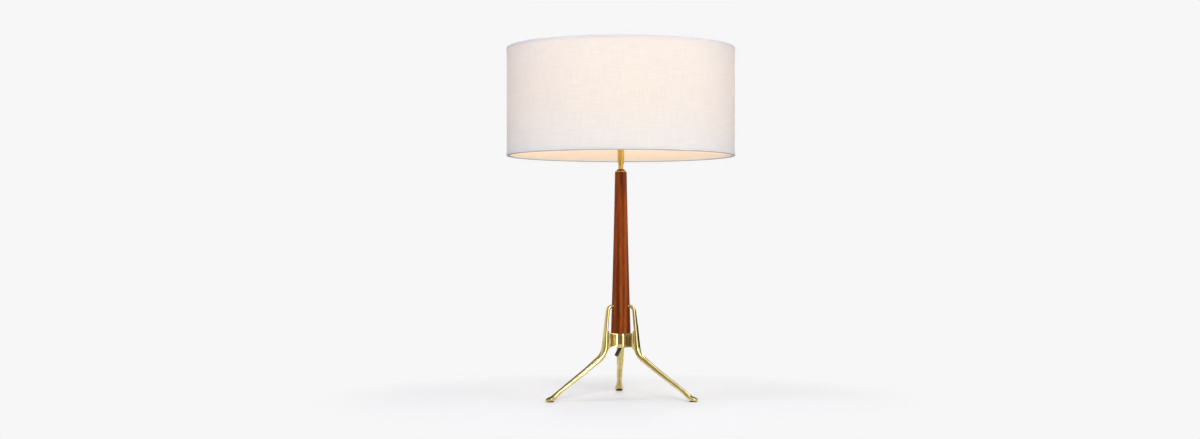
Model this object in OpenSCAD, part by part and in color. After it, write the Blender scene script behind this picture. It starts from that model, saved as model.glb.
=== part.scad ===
// Tripod table lamp: three curved cast legs, a turned wooden column and a drum shade.
// Millimetres, +Z up, origin on the floor under the column, front towards -Y.

/* [Legs] */
// Radius of the circle on which the toe tips stand
foot_r = 161; // [150:0.5:175]
// Thickness of the pads under the feet
pad_t = 1.2; // [0.8:0.1:3]
// Height of the hooks above the foot of the column
hook_rise = 51; // [45:0.5:65]
// Reach of the hook's bend from the lamp's axis
hook_reach = 27.6; // [27:0.1:30]
// Width of a leg where it enters the wood
hook_w = 8; // [7:0.1:9]
// Thickness of a leg where it enters the wood
hook_t = 7; // [5.5:0.1:8]
// Thickness of a leg in the hook's bend
bend_t = 5.6; // [5:0.1:7]
// Width of a leg beside the hub
shank_w = 12; // [11:0.1:14]
// Thickness of a leg beside the hub
shank_t = 6.6; // [6:0.1:8]
// Width of a leg at the knee
knee_w = 14.3; // [12:0.1:16]
// Thickness of a leg at the knee
knee_t = 10.3; // [8:0.1:12]
// Height of the knee's corner above the floor
knee_z = 83.4; // [78:0.1:88]
// Radius of the bend at the knee
knee_bend = 32; // [20:1:36]
// Width of a leg at the calf
calf_w = 12; // [10:0.1:14]
// Thickness of a leg at the calf
calf_t = 8.8; // [7:0.1:10]
// Width of a leg at the ankle
ankle_w = 10.1; // [9:0.1:12]
// Thickness of a leg at the ankle
ankle_t = 7.1; // [5.5:0.1:8.5]
// Width of the spade-shaped foot
toe_w = 17.6; // [14:0.1:20]
// Thickness of the spade-shaped foot
toe_t = 8; // [6:0.1:9]
// Thickness of the foot at its tip
tip_t = 3.4; // [2.5:0.1:5]
// Thickness of the flange between a leg and the hub
flange_t = 3.6; // [3:0.1:6]
// Diameter of the leg's pin in the wood
tenon_d = 4.6; // [3.5:0.1:5]
// Length of the leg's pin in the wood
tenon_l = 9; // [6:0.5:10]
// Diameter of the leg's spigot in the hub
spigot_d = 6; // [5:0.1:6.6]
// Length of the leg's spigot in the hub
spigot_l = 11; // [8:0.5:12]

/* [Hub] */
// Height of the hub's underside above the floor
hub_z = 95.5; // [93:0.5:98]
// Height of the hub
hub_h = 27.5; // [25:0.5:30]
// Diameter of the hub's boss
boss_d = 23; // [21:0.5:26]
// Reach of the hub's arms from the lamp's axis
hub_reach = 27; // [26:0.5:28]
// Width of the hub's arms
arm_w = 9.5; // [9:0.1:11]
// Depth of the sunk panels in the sides of the arms
panel_depth = 0.8; // [0.3:0.1:1.1]
// Width of the frame around each sunk panel
panel_frame = 3; // [2:0.1:4.5]
// Diameter of the set screws
setscrew_d = 4; // [3:0.5:5]
// Length of the set screws
setscrew_l = 8; // [5:0.5:9]

/* [Column] */
// Length of the wooden column
col_h = 304.5; // [260:0.5:360]
// Diameter of the column at its foot
col_foot_d = 37.4; // [36:0.1:42]
// Diameter of the column at its top
col_top_d = 22.2; // [21:0.1:26]
// How far the taper is drawn in at half its height, as a share of the taper
col_draw = 0.26; // [0:0.01:0.5]
// Width of the chamfer at the ends of the column
col_chamfer = 0.6; // [0.2:0.1:1]

/* [Pipe and neck] */
// Diameter of the threaded pipe through the lamp
pipe_d = 10; // [9.6:0.1:10.4]
// Bore of the pipe for the lead
pipe_bore_d = 7; // [6:0.1:7.4]
// Diameter of the coupling in the column's top
coupling_d = 13; // [12.6:0.1:14]
// Length of the coupling
coupling_h = 22; // [18:0.5:26]
// Depth of the recess in the hub for the nut
recess_h = 9; // [8:0.5:10]
// Diameter of the recess in the hub for the nut
recess_d = 17.4; // [17:0.1:18]
// Width of the pipe nut across its flats
nut_af = 14; // [13:0.5:14.5]
// Height of the pipe nut
nut_h = 5; // [4:0.5:5.5]
// Thickness of the lock washer
washer_t = 1.5; // [1:0.1:2]
// Diameter of the ring on the column's top
ring_d = 21.2; // [18:0.1:22]
// Height of the ring on the column's top
ring_h = 2; // [1.5:0.1:3]
// Diameter of the neck's foot
neck_foot_d = 15.5; // [13:0.1:18]
// Height of the neck's foot
neck_foot_h = 2; // [1.5:0.1:3]
// Diameter of the neck's waist
waist_d = 9.4; // [9:0.1:11]
// Length of the neck's waist
waist_h = 7; // [5:0.5:9]
// Height of the sweep between the neck's foot and its waist
sweep_low_h = 1.5; // [1:0.1:3]
// Height of the sweep between the waist and the upper tube
sweep_high_h = 7.5; // [6:0.1:10]
// Diameter of the upper tube
tube_d = 12.4; // [12.1:0.1:14]
// Length of the neck above its upper sweep
neck_lip_h = 4.5; // [4:0.1:6]
// Length of the upper tube
tube_h = 20; // [15:0.5:30]
// Bore of the neck for the lead
neck_bore_d = 6.4; // [5.5:0.1:6.8]

/* [Cord outlet] */
// Outer diameter of the outlet sleeve
outlet_d = 7; // [6.6:0.1:8]
// Bore of the outlet sleeve
outlet_bore_d = 5.2; // [4.6:0.1:5.4]
// Length of the leaning part of the sleeve
outlet_l = 20; // [16:0.5:24]
// Lean of the sleeve from the vertical
outlet_lean = 28; // [0:1:30]
// Direction of the lean, seen from above
outlet_turn = 165; // [120:5:180]

/* [Harp] */
// Diameter of the harp's wire
wire_d = 3.4; // [3:0.1:4]
// Distance from the lamp's axis to the harp's legs
harp_leg_x = 24; // [23:0.1:27]
// Height of the harp from the saddle to its plate
harp_h = 155.2; // [150:0.1:185]
// Length of the straight legs above the saddle's posts
harp_straight = 25; // [20:0.5:30]
// Radius of the bend where the legs turn outwards
harp_bend = 30; // [20:1:40]
// Radius of the harp's flat plate
harp_plate_r = 8; // [7:0.1:9]
// Thickness of the harp's flat plate
harp_plate_t = 2.2; // [1.8:0.1:3]
// Width of the saddle
saddle_w = 13; // [12:0.5:15]
// Thickness of the saddle
saddle_t = 1.8; // [1.2:0.1:2.5]
// Height of the saddle's posts
post_h = 9; // [7:0.5:10]
// Diameter of the sliding ferrules
ferrule_d = 6.2; // [5.6:0.1:7]
// Length of the sliding ferrules
ferrule_h = 12; // [10.5:0.5:14]
// Diameter of the stud on the harp
stud_d = 6.2; // [5.5:0.1:7]
// Length of the stud above the shade's washer
stud_h = 12; // [9:0.5:13]
// Diameter of the seat on the stud
seat_d = 19; // [16:0.5:22]
// Thickness of the seat on the stud
seat_t = 1.5; // [1:0.1:2]

/* [Lamp holder] */
// Outer diameter of the holder's shell
shell_d = 35.4; // [35:0.1:38]
// Thickness of the holder's sheet metal
sheet_t = 0.8; // [0.6:0.05:0.9]
// Thickness of the insulating sleeve
sleeve_t = 0.8; // [0.5:0.05:1]
// Height of the cap's collar
collar_h = 6.2; // [5.5:0.1:8]
// Height of the cap's bell
bell_h = 8; // [7:0.1:10]
// Height of the rim around the shell
rim_h = 7; // [5:0.1:7.4]
// Height of the insulating body
holder_body_h = 18; // [17:0.5:22]
// Height of the screwed shell
screw_shell_h = 24; // [20:0.5:26]
// Bore of the screwed shell
screw_bore_d = 26.4; // [26:0.1:27]
// Diameter of the switch's stem
stem_d = 4; // [3:0.1:4.4]
// Height of the stem above the foot of the insulating body
stem_rise = 11; // [10.5:0.1:12]
// Length of the stem inside the body
stem_in = 6; // [4:0.5:8]
// Diameter of the switch's knob
knob_d = 13; // [11:0.5:15]
// Length of the switch's knob
knob_l = 12; // [9:0.5:14]
// Number of flutes on the knob
knob_flutes = 12; // [8:1:16]

/* [Bulb] */
// Diameter of the bulb's globe
globe_d = 60; // [55:0.5:62]
// Height of the bulb's glass
glass_h = 80; // [74:0.5:84]
// Wall of the bulb's glass
glass_t = 1; // [0.8:0.1:1.5]
// Height of the bulb's screwed cap
bulb_cap_h = 23; // [20:0.5:24]
// Height of the black insulator under the bulb's cap
insulator_h = 2.5; // [2:0.1:3.5]
// Height of the bulb's contact
contact_h = 1; // [0.8:0.1:1.5]

/* [Shade] */
// Outer diameter of the shade
shade_d = 431.8; // [380:0.2:460]
// Height of the shade
shade_h = 203.2; // [185:0.2:215]
// Drop of the spider below the shade's rim
spider_drop = 26.8; // [24:0.1:32]
// Thickness of the cloth
cloth_t = 0.6; // [0.4:0.05:1]
// Thickness of the stiff liner
liner_t = 0.8; // [0.5:0.05:1.2]
// Thickness of the folded hems
hem_t = 0.4; // [0.3:0.05:0.6]
// Height of the folded hems
hem_h = 5; // [4:0.5:12]
// Diameter of the wire in the shade's rings
ring_wire_d = 3.2; // [2.5:0.1:4]
// Diameter of the wire in the spider's arms
arm_wire_d = 3; // [2.4:0.1:3.2]
// Diameter of the spider's centre washer
spider_washer_d = 30; // [26:0.5:36]
// Thickness of the spider's centre washer
spider_washer_t = 1.8; // [1.2:0.1:2.4]
// Diameter of the finial's ball
finial_d = 13; // [11:0.5:16]
// Height of the finial
finial_h = 19; // [17:0.5:22]

/* [Fits] */
// Radial clearance of pieces that turn or slide
run_fit = 0.1; // [0.05:0.01:0.15]
// Radial clearance of pieces that are screwed or pressed together
set_fit = 0.05; // [0.02:0.01:0.08]
// Gap between the glued layers of the shade
glue_gap = 0.15; // [0.1:0.01:0.25]

/* [Hidden] */
$fn = 48;
round_fn = 144;

// Directions of the three legs: back, front left, front right
back_turn = 90;
left_turn = 210;
right_turn = 330;
leg_turns = [back_turn, left_turn, right_turn];

// Levels, from the floor up
hub_top = hub_z + hub_h;
col_top = hub_top + col_h;
ring_top = col_top + ring_h;
neck_top = ring_top + neck_foot_h + sweep_low_h + waist_h + sweep_high_h + neck_lip_h;
tube_top = neck_top + tube_h;
saddle_top = tube_top + saddle_t;
plate_z = saddle_top + harp_h;
seat_z = plate_z + harp_plate_t;
washer_z = seat_z + seat_t;
spider_z = washer_z + spider_washer_t / 2;
finial_z = washer_z + spider_washer_t;
shade_top = spider_z + spider_drop;
shade_foot = shade_top - shade_h;
bell_z = saddle_top + collar_h;
step_z = bell_z + bell_h + sheet_t;
body_top = step_z + holder_body_h;
stem_z = step_z + stem_rise;
spigot_z = hub_z + hub_h / 2;
hook_z = hub_top + hook_rise;

// Radii that several pieces share
pipe_r = pipe_d / 2;
wire_r = wire_d / 2;
shell_r = shell_d / 2;
cap_r = shell_r + set_fit + sheet_t;
sleeve_r = shell_r - sheet_t - run_fit;
body_r = sleeve_r - sleeve_t - run_fit;
shank_r = hub_reach + flange_t + shank_t / 2;
cloth_r = shade_d / 2 - hem_t - glue_gap;
liner_r = cloth_r - cloth_t - glue_gap;
ring_r = liner_r - liner_t - glue_gap - ring_wire_d / 2;
hem_inner_r = ring_r - ring_wire_d / 2 - glue_gap - hem_t;

// ---- Curves ----

function unit(v) = v / norm(v);
function turned(v, a) = [v.x * cos(a) - v.y * sin(a), v.x * sin(a) + v.y * cos(a)];

// Points of the arc that rounds the corner b between a and c, tangent to both sides
function bend(a, b, c, radius, steps) =
    let (
        d1 = unit(b - a),
        d2 = unit(c - b),
        turn = acos(d1 * d2),
        side = sign(d1.x * d2.y - d1.y * d2.x),
        out = -side * radius * [-d1.y, d1.x],
        centre = b - d1 * radius * tan(turn / 2) - out
    )
    [for (i = [0 : steps]) centre + turned(out, side * turn * i / steps)];

// Rounds every inner corner of a chain; each row is [r, z, radius, steps, ...more values]
function rounded(rows) =
    let (last = len(rows) - 1)
    [for (i = [0 : last])
        if (i == 0 || i == last) [rows[i].x, rows[i].y, rows[i][4], rows[i][5]]
        else
            each [for (p = bend(flat(rows[i - 1]), flat(rows[i]), flat(rows[i + 1]),
                rows[i][2], rows[i][3])) [p.x, p.y, rows[i][4], rows[i][5]]]];
function flat(v) = [v.x, v.y];

// Direction of a chain of points at point i
function heading(path, i) =
    unit(flat(path[min(i + 1, len(path) - 1)]) - flat(path[max(i - 1, 0)]));

function power(v, e) = sign(v) * pow(abs(v), e);

// Soft-cornered section, width by thickness, as [across, through] points
function section(w, t, sides, squareness) =
    [for (i = [0 : sides - 1])
        let (a = 360 * (i + 0.5) / sides)
        [power(cos(a), 2 / squareness) * w / 2, power(sin(a), 2 / squareness) * t / 2]];

// Solid along a path in the XZ plane; rows are [x, z, width, thickness]; it stays above floor_z
module sweep(rows, sides, squareness, floor_z) {
    last = len(rows) - 1;
    points = [for (i = [0 : last])
        let (h = heading(rows, i))
        each [for (s = section(rows[i][2], rows[i][3], sides, squareness))
            [rows[i].x - h.y * s.y, s.x, max(rows[i].y + h.x * s.y, floor_z)]]];
    walls = [for (i = [0 : last - 1], j = [0 : sides - 1])
        let (a = i * sides + j, b = i * sides + (j + 1) % sides)
        each [[a, a + sides, b], [b, a + sides, b + sides]]];
    first_face = [for (j = [0 : sides - 1]) j];
    last_face = [for (j = [sides - 1 : -1 : 0]) last * sides + j];
    polyhedron(points, concat(walls, [first_face, last_face]));
}

// Points of a soft step from one radius to another between two heights
function eased(r1, z1, r2, z2, steps) =
    [for (i = [0 : steps])
        let (u = i / steps)
        [r1 + (r2 - r1) * (1 - cos(180 * u)) / 2, z1 + (z2 - z1) * u]];

// Radius of the column at a height above the floor
function col_radius(z) =
    let (
        u = (col_top - z) / col_h,
        share = (1 - col_draw) * u + col_draw * u * u
    )
    (col_top_d + (col_foot_d - col_top_d) * share) / 2;

module ring(r_in, r_out, z, h) {
    translate([0, 0, z])
        difference() {
            cylinder(r = r_out, h = h);
            translate([0, 0, -1]) cylinder(r = r_in, h = h + 2);
        }
}

module radial(turn, r, z) {
    rotate([0, 0, turn]) translate([r, 0, z]) rotate([0, 90, 0]) children();
}

// ---- Legs and feet ----

root_r = col_radius(hook_z - hook_t / 2) + set_fit;
ankle_r = foot_r - 27.6;
ankle_z = pad_t + 15.9;
instep_r = foot_r - 14.4;
instep_z = pad_t + 5.4;
sole_sink = 0.3;
toe_z = pad_t + toe_t / 2 - sole_sink;
toe_r = foot_r - toe_w / 2;
toe_steps = 6;
calf_share = 0.45;
leg_sides = 20;
leg_squareness = 3;
bend_hook = 10;
bend_shank = 120;
bend_calf = 260;
bend_ankle = 20;
bend_instep = 12;

function between(a, b, u) = a + (b - a) * u;

knee_r = shank_r + 1.6;
calf_r = between(knee_r, ankle_r, calf_share);
calf_z = between(knee_z, ankle_z, calf_share) - 1.1;

leg_chain = [
    [root_r, hook_z, 0, 0, hook_w, hook_t],
    [hook_reach, hook_z, bend_hook, 7, hook_w, bend_t],
    [shank_r, hub_top - 1, bend_shank, 2, shank_w, shank_t],
    [knee_r, knee_z, knee_bend, 8, knee_w, knee_t],
    [calf_r, calf_z, bend_calf, 2, calf_w, calf_t],
    [ankle_r, ankle_z, bend_ankle, 3, ankle_w, ankle_t],
    [instep_r, instep_z, bend_instep, 4, between(ankle_w, toe_w, 0.7), toe_t],
    [toe_r, toe_z, 0, 0, toe_w, toe_t]
];
// The spade narrows in a half round to the tip while its top slopes down to it
tip_turn = 82;
toe_rows = [for (i = [1 : toe_steps])
    let (
        a = tip_turn * i / toe_steps,
        u = sin(a) / sin(tip_turn),
        t = between(toe_t, tip_t, u)
    )
    [between(toe_r, foot_r, u), pad_t + t / 2 - sole_sink, toe_w * cos(a), t]];

module leg(turn) {
    color("goldenrod")
        rotate([0, 0, turn]) {
            sweep(concat(rounded(leg_chain), toe_rows), leg_sides, leg_squareness, pad_t);
            leg_flange();
            translate([root_r - tenon_l, 0, hook_z]) rotate([0, 90, 0])
                cylinder(d = tenon_d, h = tenon_l + hook_t);
            translate([hub_reach - spigot_l, 0, spigot_z]) rotate([0, 90, 0])
                cylinder(d = spigot_d, h = spigot_l + flange_t + 1);
        }
}

// Flat pad on the inner side of a leg that meets the hub's arm
module leg_flange() {
    low = hub_z - 3;
    high = hub_top + 2;
    rotate([90, 0, 0])
        linear_extrude(height = arm_w, center = true)
            polygon([[hub_reach, low + 2], [hub_reach, high - 1.5], [hub_reach + 2, high + 2.5],
                [shank_r - 0.8, high + 6], [shank_r, high], [shank_r + 0.6, low],
                [shank_r - 1.5, low - 3]]);
}

module leg_back() {
    leg(back_turn);
}

module leg_front_left() {
    leg(left_turn);
}

module leg_front_right() {
    leg(right_turn);
}

module foot_pads() {
    color("dimgray")
        for (turn = leg_turns)
            rotate([0, 0, turn]) translate([toe_r, 0, 0]) cylinder(d = toe_w - 4, h = pad_t);
}

// ---- Hub and its fasteners ----

arm_foot_z = hub_z + 1;
arm_h = hub_h - 1;
screw_r = hub_reach - spigot_l / 2;
nut_top = hub_z + recess_h - washer_t;
pipe_foot = nut_top - nut_h - 1;

module hub() {
    color("goldenrod")
        difference() {
            union() {
                translate([0, 0, hub_z]) cylinder(d = boss_d, h = hub_h);
                for (turn = leg_turns) rotate([0, 0, turn]) hub_arm();
            }
            translate([0, 0, hub_z - 1]) cylinder(r = pipe_r + set_fit, h = hub_h + 2);
            translate([0, 0, hub_z - 1]) cylinder(d = recess_d, h = recess_h + 1);
            for (turn = leg_turns) {
                radial(turn, hub_reach - spigot_l - 0.5, spigot_z)
                    cylinder(r = spigot_d / 2 + set_fit, h = spigot_l + 2);
                rotate([0, 0, turn]) translate([screw_r, 0, arm_foot_z - 1])
                    cylinder(r = setscrew_d / 2 + set_fit, h = spigot_z - arm_foot_z + 1);
            }
        }
}

module hub_arm() {
    panel_l = hub_reach - boss_d / 2 - panel_frame * 1.2;
    difference() {
        translate([0, -arm_w / 2, arm_foot_z]) cube([hub_reach, arm_w, arm_h]);
        for (side = [-1, 1])
            translate([hub_reach - panel_frame * 0.7 - panel_l, side * arm_w / 2 - panel_depth,
                arm_foot_z + panel_frame])
                cube([panel_l, panel_depth * 2, arm_h - panel_frame * 2]);
    }
}

module leg_setscrews() {
    color("dimgray")
        for (turn = leg_turns)
            rotate([0, 0, turn])
                translate([screw_r, 0, spigot_z - spigot_d / 2 - set_fit - setscrew_l])
                    difference() {
                        cylinder(d = setscrew_d, h = setscrew_l);
                        translate([0, 0, -1]) cylinder(d = setscrew_d / 2, h = 3.5, $fn = 6);
                    }
}

module lamp_pipe() {
    color("silver")
        ring(pipe_bore_d / 2, pipe_r, pipe_foot, col_top - coupling_h / 2 - 2 - set_fit - pipe_foot);
}

module pipe_nut() {
    color("goldenrod")
        translate([0, 0, nut_top - nut_h])
            difference() {
                cylinder(d = nut_af / cos(30), h = nut_h, $fn = 6);
                translate([0, 0, -1]) cylinder(r = pipe_r + set_fit, h = nut_h + 2);
            }
}

module lock_washer() {
    color("silver")
        ring(pipe_r + set_fit, nut_af / 2, nut_top, washer_t);
}

// Sleeve in the pipe's foot through which the lead leaves the lamp
module cord_outlet() {
    plug_l = 5;
    collar_l = 2.5;
    color([0.17, 0.14, 0.12])
        difference() {
            union() {
                translate([0, 0, pipe_foot - collar_l])
                    cylinder(r = pipe_r, h = collar_l);
                translate([0, 0, pipe_foot - 1])
                    cylinder(r = pipe_bore_d / 2 - set_fit, h = plug_l + 1);
                outlet_axis() cylinder(d = outlet_d, h = outlet_l);
            }
            outlet_axis() translate([0, 0, -2]) cylinder(d = outlet_bore_d, h = outlet_l + 4);
            translate([0, 0, pipe_foot - 1]) cylinder(d = outlet_bore_d, h = plug_l + 2);
        }
}

module outlet_axis() {
    translate([0, 0, pipe_foot])
        rotate([0, 0, outlet_turn]) rotate([0, 180 - outlet_lean, 0])
            children();
}

// ---- Column ----

module column() {
    steps = 16;
    side = [for (i = [0 : steps])
        let (z = between(hub_top + col_chamfer, col_top - col_chamfer, i / steps))
        [col_radius(z), z]];
    foot = [[0, hub_top], [col_foot_d / 2 - col_chamfer, hub_top]];
    top = [[col_top_d / 2 - col_chamfer, col_top], [0, col_top]];
    color("saddlebrown")
        difference() {
            rotate_extrude($fn = round_fn) polygon(concat(foot, side, top));
            translate([0, 0, hub_top - 1]) cylinder(r = pipe_r + run_fit, h = col_h + 2);
            translate([0, 0, col_top - coupling_h - 2])
                cylinder(r = coupling_d / 2 + run_fit, h = coupling_h + 3);
            for (turn = leg_turns)
                radial(turn, root_r - tenon_l - 0.3, hook_z)
                    cylinder(r = tenon_d / 2 + set_fit, h = tenon_l + 10);
        }
}

module seat_ring() {
    color("gold")
        ring(pipe_r + set_fit, ring_d / 2, col_top, ring_h);
}

module pipe_coupling() {
    color("silver")
        ring(pipe_r + set_fit, coupling_d / 2, col_top - coupling_h - 2, coupling_h);
}

// ---- Neck ----

module neck() {
    foot_r1 = neck_foot_d / 2;
    z1 = ring_top + neck_foot_h;
    z2 = z1 + sweep_low_h;
    z3 = z2 + waist_h;
    z4 = z3 + sweep_high_h;
    tail_z = col_top - coupling_h / 2 - 2;
    outline = concat([[0, tail_z], [pipe_r, tail_z], [pipe_r, ring_top], [foot_r1, ring_top]],
        eased(foot_r1, z1, waist_d / 2, z2, 4), eased(waist_d / 2, z3, tube_d / 2, z4, 8),
        [[tube_d / 2, neck_top], [0, neck_top]]);
    color("gold")
        difference() {
            rotate_extrude($fn = 96) polygon(outline);
            translate([0, 0, tail_z - 1]) cylinder(d = neck_bore_d, h = neck_top - tail_z + 2);
            translate([0, 0, neck_top - neck_lip_h - 0.5])
                cylinder(r = pipe_r + set_fit, h = neck_lip_h + 1.5);
        }
}

module neck_tube() {
    color("gold")
        ring(pipe_r + set_fit, tube_d / 2, neck_top, tube_h);
}

module upper_nipple() {
    foot = neck_top - neck_lip_h - 0.5;
    color("silver")
        ring(pipe_bore_d / 2, pipe_r, foot, bell_z + sheet_t + 2 - foot);
}

// ---- Harp ----

module harp_saddle() {
    color("gold") {
        difference() {
            translate([0, 0, tube_top])
                linear_extrude(height = saddle_t)
                    union() {
                        square([harp_leg_x * 2, ferrule_d + 1], center = true);
                        circle(d = saddle_w + 4);
                        for (side = [-1, 1])
                            translate([side * harp_leg_x, 0]) circle(d = ferrule_d + 1);
                    }
            translate([0, 0, tube_top - 1]) cylinder(r = pipe_r + set_fit, h = saddle_t + 2);
        }
        for (side = [-1, 1])
            translate([side * harp_leg_x, 0, saddle_top - 0.5]) cylinder(r = wire_r, h = post_h + 0.5);
    }
}

// The bow is two tangent arcs: one turns the leg outwards, the next brings it over to the plate
harp_foot = saddle_top + post_h;
bow_z = harp_foot + harp_straight;
bow_top = plate_z + harp_plate_t / 2;
bow_across = harp_leg_x - harp_plate_r * 0.6 + harp_bend;
bow_up = bow_top - bow_z + harp_bend;
bow_sum = (bow_across * bow_across + bow_up * bow_up) / (2 * bow_up);
bow_r = bow_sum - harp_bend;
bow_out = asin((bow_up - bow_sum) / bow_sum);
bow_steps = 5;
bow_steps_over = 14;

function harp_half() =
    let (
        centre1 = [harp_leg_x + harp_bend, bow_z],
        centre2 = [harp_plate_r * 0.6, bow_top - bow_r]
    )
    concat(
        [[harp_leg_x, harp_foot]],
        [for (i = [0 : bow_steps]) centre1 + turned([-harp_bend, 0], -bow_out * i / bow_steps)],
        [for (i = [1 : bow_steps_over])
            centre2 + turned([bow_r, 0], -bow_out + (90 + bow_out) * i / bow_steps_over)],
        [[0, bow_top]]);

module harp() {
    rows = [for (p = harp_half()) [p.x, p.y, wire_d, wire_d]];
    color("gold")
        difference() {
            union() {
                for (side = [0, 180])
                    rotate([0, 0, side]) sweep(rows, 10, 2, 0);
                translate([0, 0, plate_z]) cylinder(r = harp_plate_r, h = harp_plate_t);
            }
            translate([0, 0, plate_z - 5]) cylinder(r = harp_plate_r + 1, h = 5);
            translate([0, 0, seat_z]) cylinder(r = seat_d / 2 + 0.5, h = 5);
            translate([0, 0, plate_z - 1]) cylinder(r = stud_d / 2 + set_fit, h = harp_plate_t + 2);
        }
}

module harp_stud() {
    color("gold") {
        translate([0, 0, plate_z - 1.5]) cylinder(d = stud_d + 3, h = 1.5);
        translate([0, 0, plate_z - 0.5])
            cylinder(d = stud_d, h = finial_z + stud_h - plate_z + 0.5);
        translate([0, 0, seat_z]) cylinder(d = seat_d, h = seat_t, $fn = 96);
    }
}

module ferrule(side) {
    color("gold")
        translate([side * harp_leg_x, 0, 0])
            ring(wire_r + run_fit, ferrule_d / 2, saddle_top, ferrule_h);
}

module ferrule_left() {
    ferrule(-1);
}

module ferrule_right() {
    ferrule(1);
}

// ---- Lamp holder ----

step_inner_r = body_r - 1.5;
stem_hole_r = stem_d / 2 + 0.6;

module socket_cap() {
    collar_r = pipe_r + 2.2;
    outline = concat([[pipe_r + set_fit, saddle_top], [collar_r, saddle_top]],
        eased(collar_r, bell_z, cap_r, step_z, 8), [[cap_r, step_z + rim_h],
        [cap_r - sheet_t, step_z + rim_h], [cap_r - sheet_t, step_z], [step_inner_r, step_z]],
        eased(step_inner_r, step_z - sheet_t * 1.5, collar_r, bell_z + sheet_t * 2, 6),
        [[pipe_r + set_fit, bell_z + sheet_t * 2]]);
    color("gold") rotate_extrude($fn = 96) polygon(outline);
}

module stem_cut(r) {
    translate([0, 0, stem_z]) rotate([90, 0, 0]) cylinder(r = r, h = shell_r + 5);
}

module socket_shell() {
    shell_top = body_top + screw_shell_h + 1;
    color("gold")
        difference() {
            union() {
                ring(shell_r - sheet_t, shell_r, step_z, shell_top - step_z);
                ring(screw_bore_d / 2 + 1.6, shell_r, shell_top - sheet_t, sheet_t);
            }
            stem_cut(stem_hole_r);
        }
}

module socket_liner() {
    color("tan")
        difference() {
            ring(sleeve_r - sleeve_t, sleeve_r, step_z, holder_body_h + screw_shell_h - 0.5);
            stem_cut(stem_hole_r);
        }
}

module socket_body() {
    color([0.2, 0.17, 0.15])
        difference() {
            translate([0, 0, step_z]) cylinder(r = body_r, h = holder_body_h);
            translate([0, -body_r + stem_in, stem_z]) rotate([90, 0, 0])
                cylinder(r = stem_d / 2 + run_fit, h = stem_in + 1);
            for (side = [-1, 1])
                translate([side * 9, 0, step_z - 1]) cylinder(r = 1.5 + set_fit, h = 6);
        }
}

module screw_shell() {
    screw_r1 = screw_bore_d / 2;
    color("silver")
        ring(screw_r1, screw_r1 + 0.7, body_top, screw_shell_h);
}

module centre_contact() {
    color("gold") {
        translate([0, 0, body_top]) cylinder(r = 4.5, h = 0.6);
        translate([0, 0, body_top + 0.5]) cylinder(r = 2.5, h = 0.7);
    }
}

module terminal_screws() {
    color("gold")
        for (side = [-1, 1])
            translate([side * 9, 0, step_z]) {
                translate([0, 0, -1.6]) cylinder(r = 2.6, h = 1.6);
                translate([0, 0, -0.5]) cylinder(r = 1.5, h = 4.5);
            }
}

module switch_stem() {
    color("gold")
        translate([0, -body_r + stem_in - 0.3, stem_z]) rotate([90, 0, 0])
            cylinder(d = stem_d, h = stem_in - 0.3 + cap_r - body_r + 7);
}

module switch_knob() {
    foot = cap_r + 1.5;
    color([0.1, 0.09, 0.08])
        translate([0, -foot, stem_z]) rotate([90, 0, 0])
            difference() {
                union() {
                    cylinder(d = knob_d - 3, h = 3);
                    translate([0, 0, 2]) cylinder(d = knob_d, h = knob_l - 3);
                    translate([0, 0, knob_l - 1]) cylinder(d1 = knob_d, d2 = knob_d - 2, h = 1, $fn = 48);
                }
                translate([0, 0, -1]) cylinder(r = stem_d / 2 + set_fit, h = 6.5 + set_fit);
                for (i = [0 : knob_flutes - 1])
                    rotate([0, 0, 360 * i / knob_flutes]) translate([knob_d / 2 + 0.5, 0, 3])
                        cylinder(r = 1, h = knob_l);
            }
}

// ---- Bulb ----

contact_foot = body_top + 1.2 + run_fit;
insulator_foot = contact_foot + contact_h;
bulb_cap_foot = insulator_foot + insulator_h;
glass_foot = bulb_cap_foot + bulb_cap_h;
bulb_cap_r = screw_bore_d / 2 - run_fit;

module bulb_contact() {
    color("silver")
        translate([0, 0, contact_foot]) cylinder(r = 4.6, h = contact_h);
}

module bulb_insulator() {
    color([0.08, 0.08, 0.09])
        rotate_extrude($fn = 64)
            polygon([[0, insulator_foot], [5, insulator_foot], [bulb_cap_r - 1.2, bulb_cap_foot],
                [0, bulb_cap_foot]]);
}

module bulb_cap() {
    color("silver")
        rotate_extrude($fn = 96)
            polygon([[0, bulb_cap_foot], [bulb_cap_r - 1, bulb_cap_foot],
                [bulb_cap_r, bulb_cap_foot + 2.5], [bulb_cap_r, glass_foot], [0, glass_foot]]);
}

// Outline of the globe: a soft sweep from the neck, then round over the top
function globe(shrink) =
    let (
        r = globe_d / 2 - shrink,
        centre_z = glass_foot + glass_h - globe_d / 2,
        low = 25
    )
    concat([[0, glass_foot]],
        eased(bulb_cap_r - 0.5 - shrink, glass_foot, r * cos(low), centre_z - r * sin(low), 10),
        [for (i = [1 : 12])
            let (a = -low + (90 + low) * i / 12)
            [r * cos(a), centre_z + r * sin(a)]]);

module bulb_glass() {
    color([0.95, 0.95, 0.92])
        difference() {
            rotate_extrude($fn = 96) polygon(globe(0));
            rotate_extrude($fn = 96) polygon(globe(glass_t));
        }
}

// ---- Shade ----

function ring_level(top) =
    top ? shade_top - hem_t - glue_gap - ring_wire_d / 2
        : shade_foot + hem_t + glue_gap + ring_wire_d / 2;

module wire_ring(z) {
    rotate_extrude($fn = round_fn) translate([ring_r, z]) circle(d = ring_wire_d, $fn = 24);
}

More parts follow.
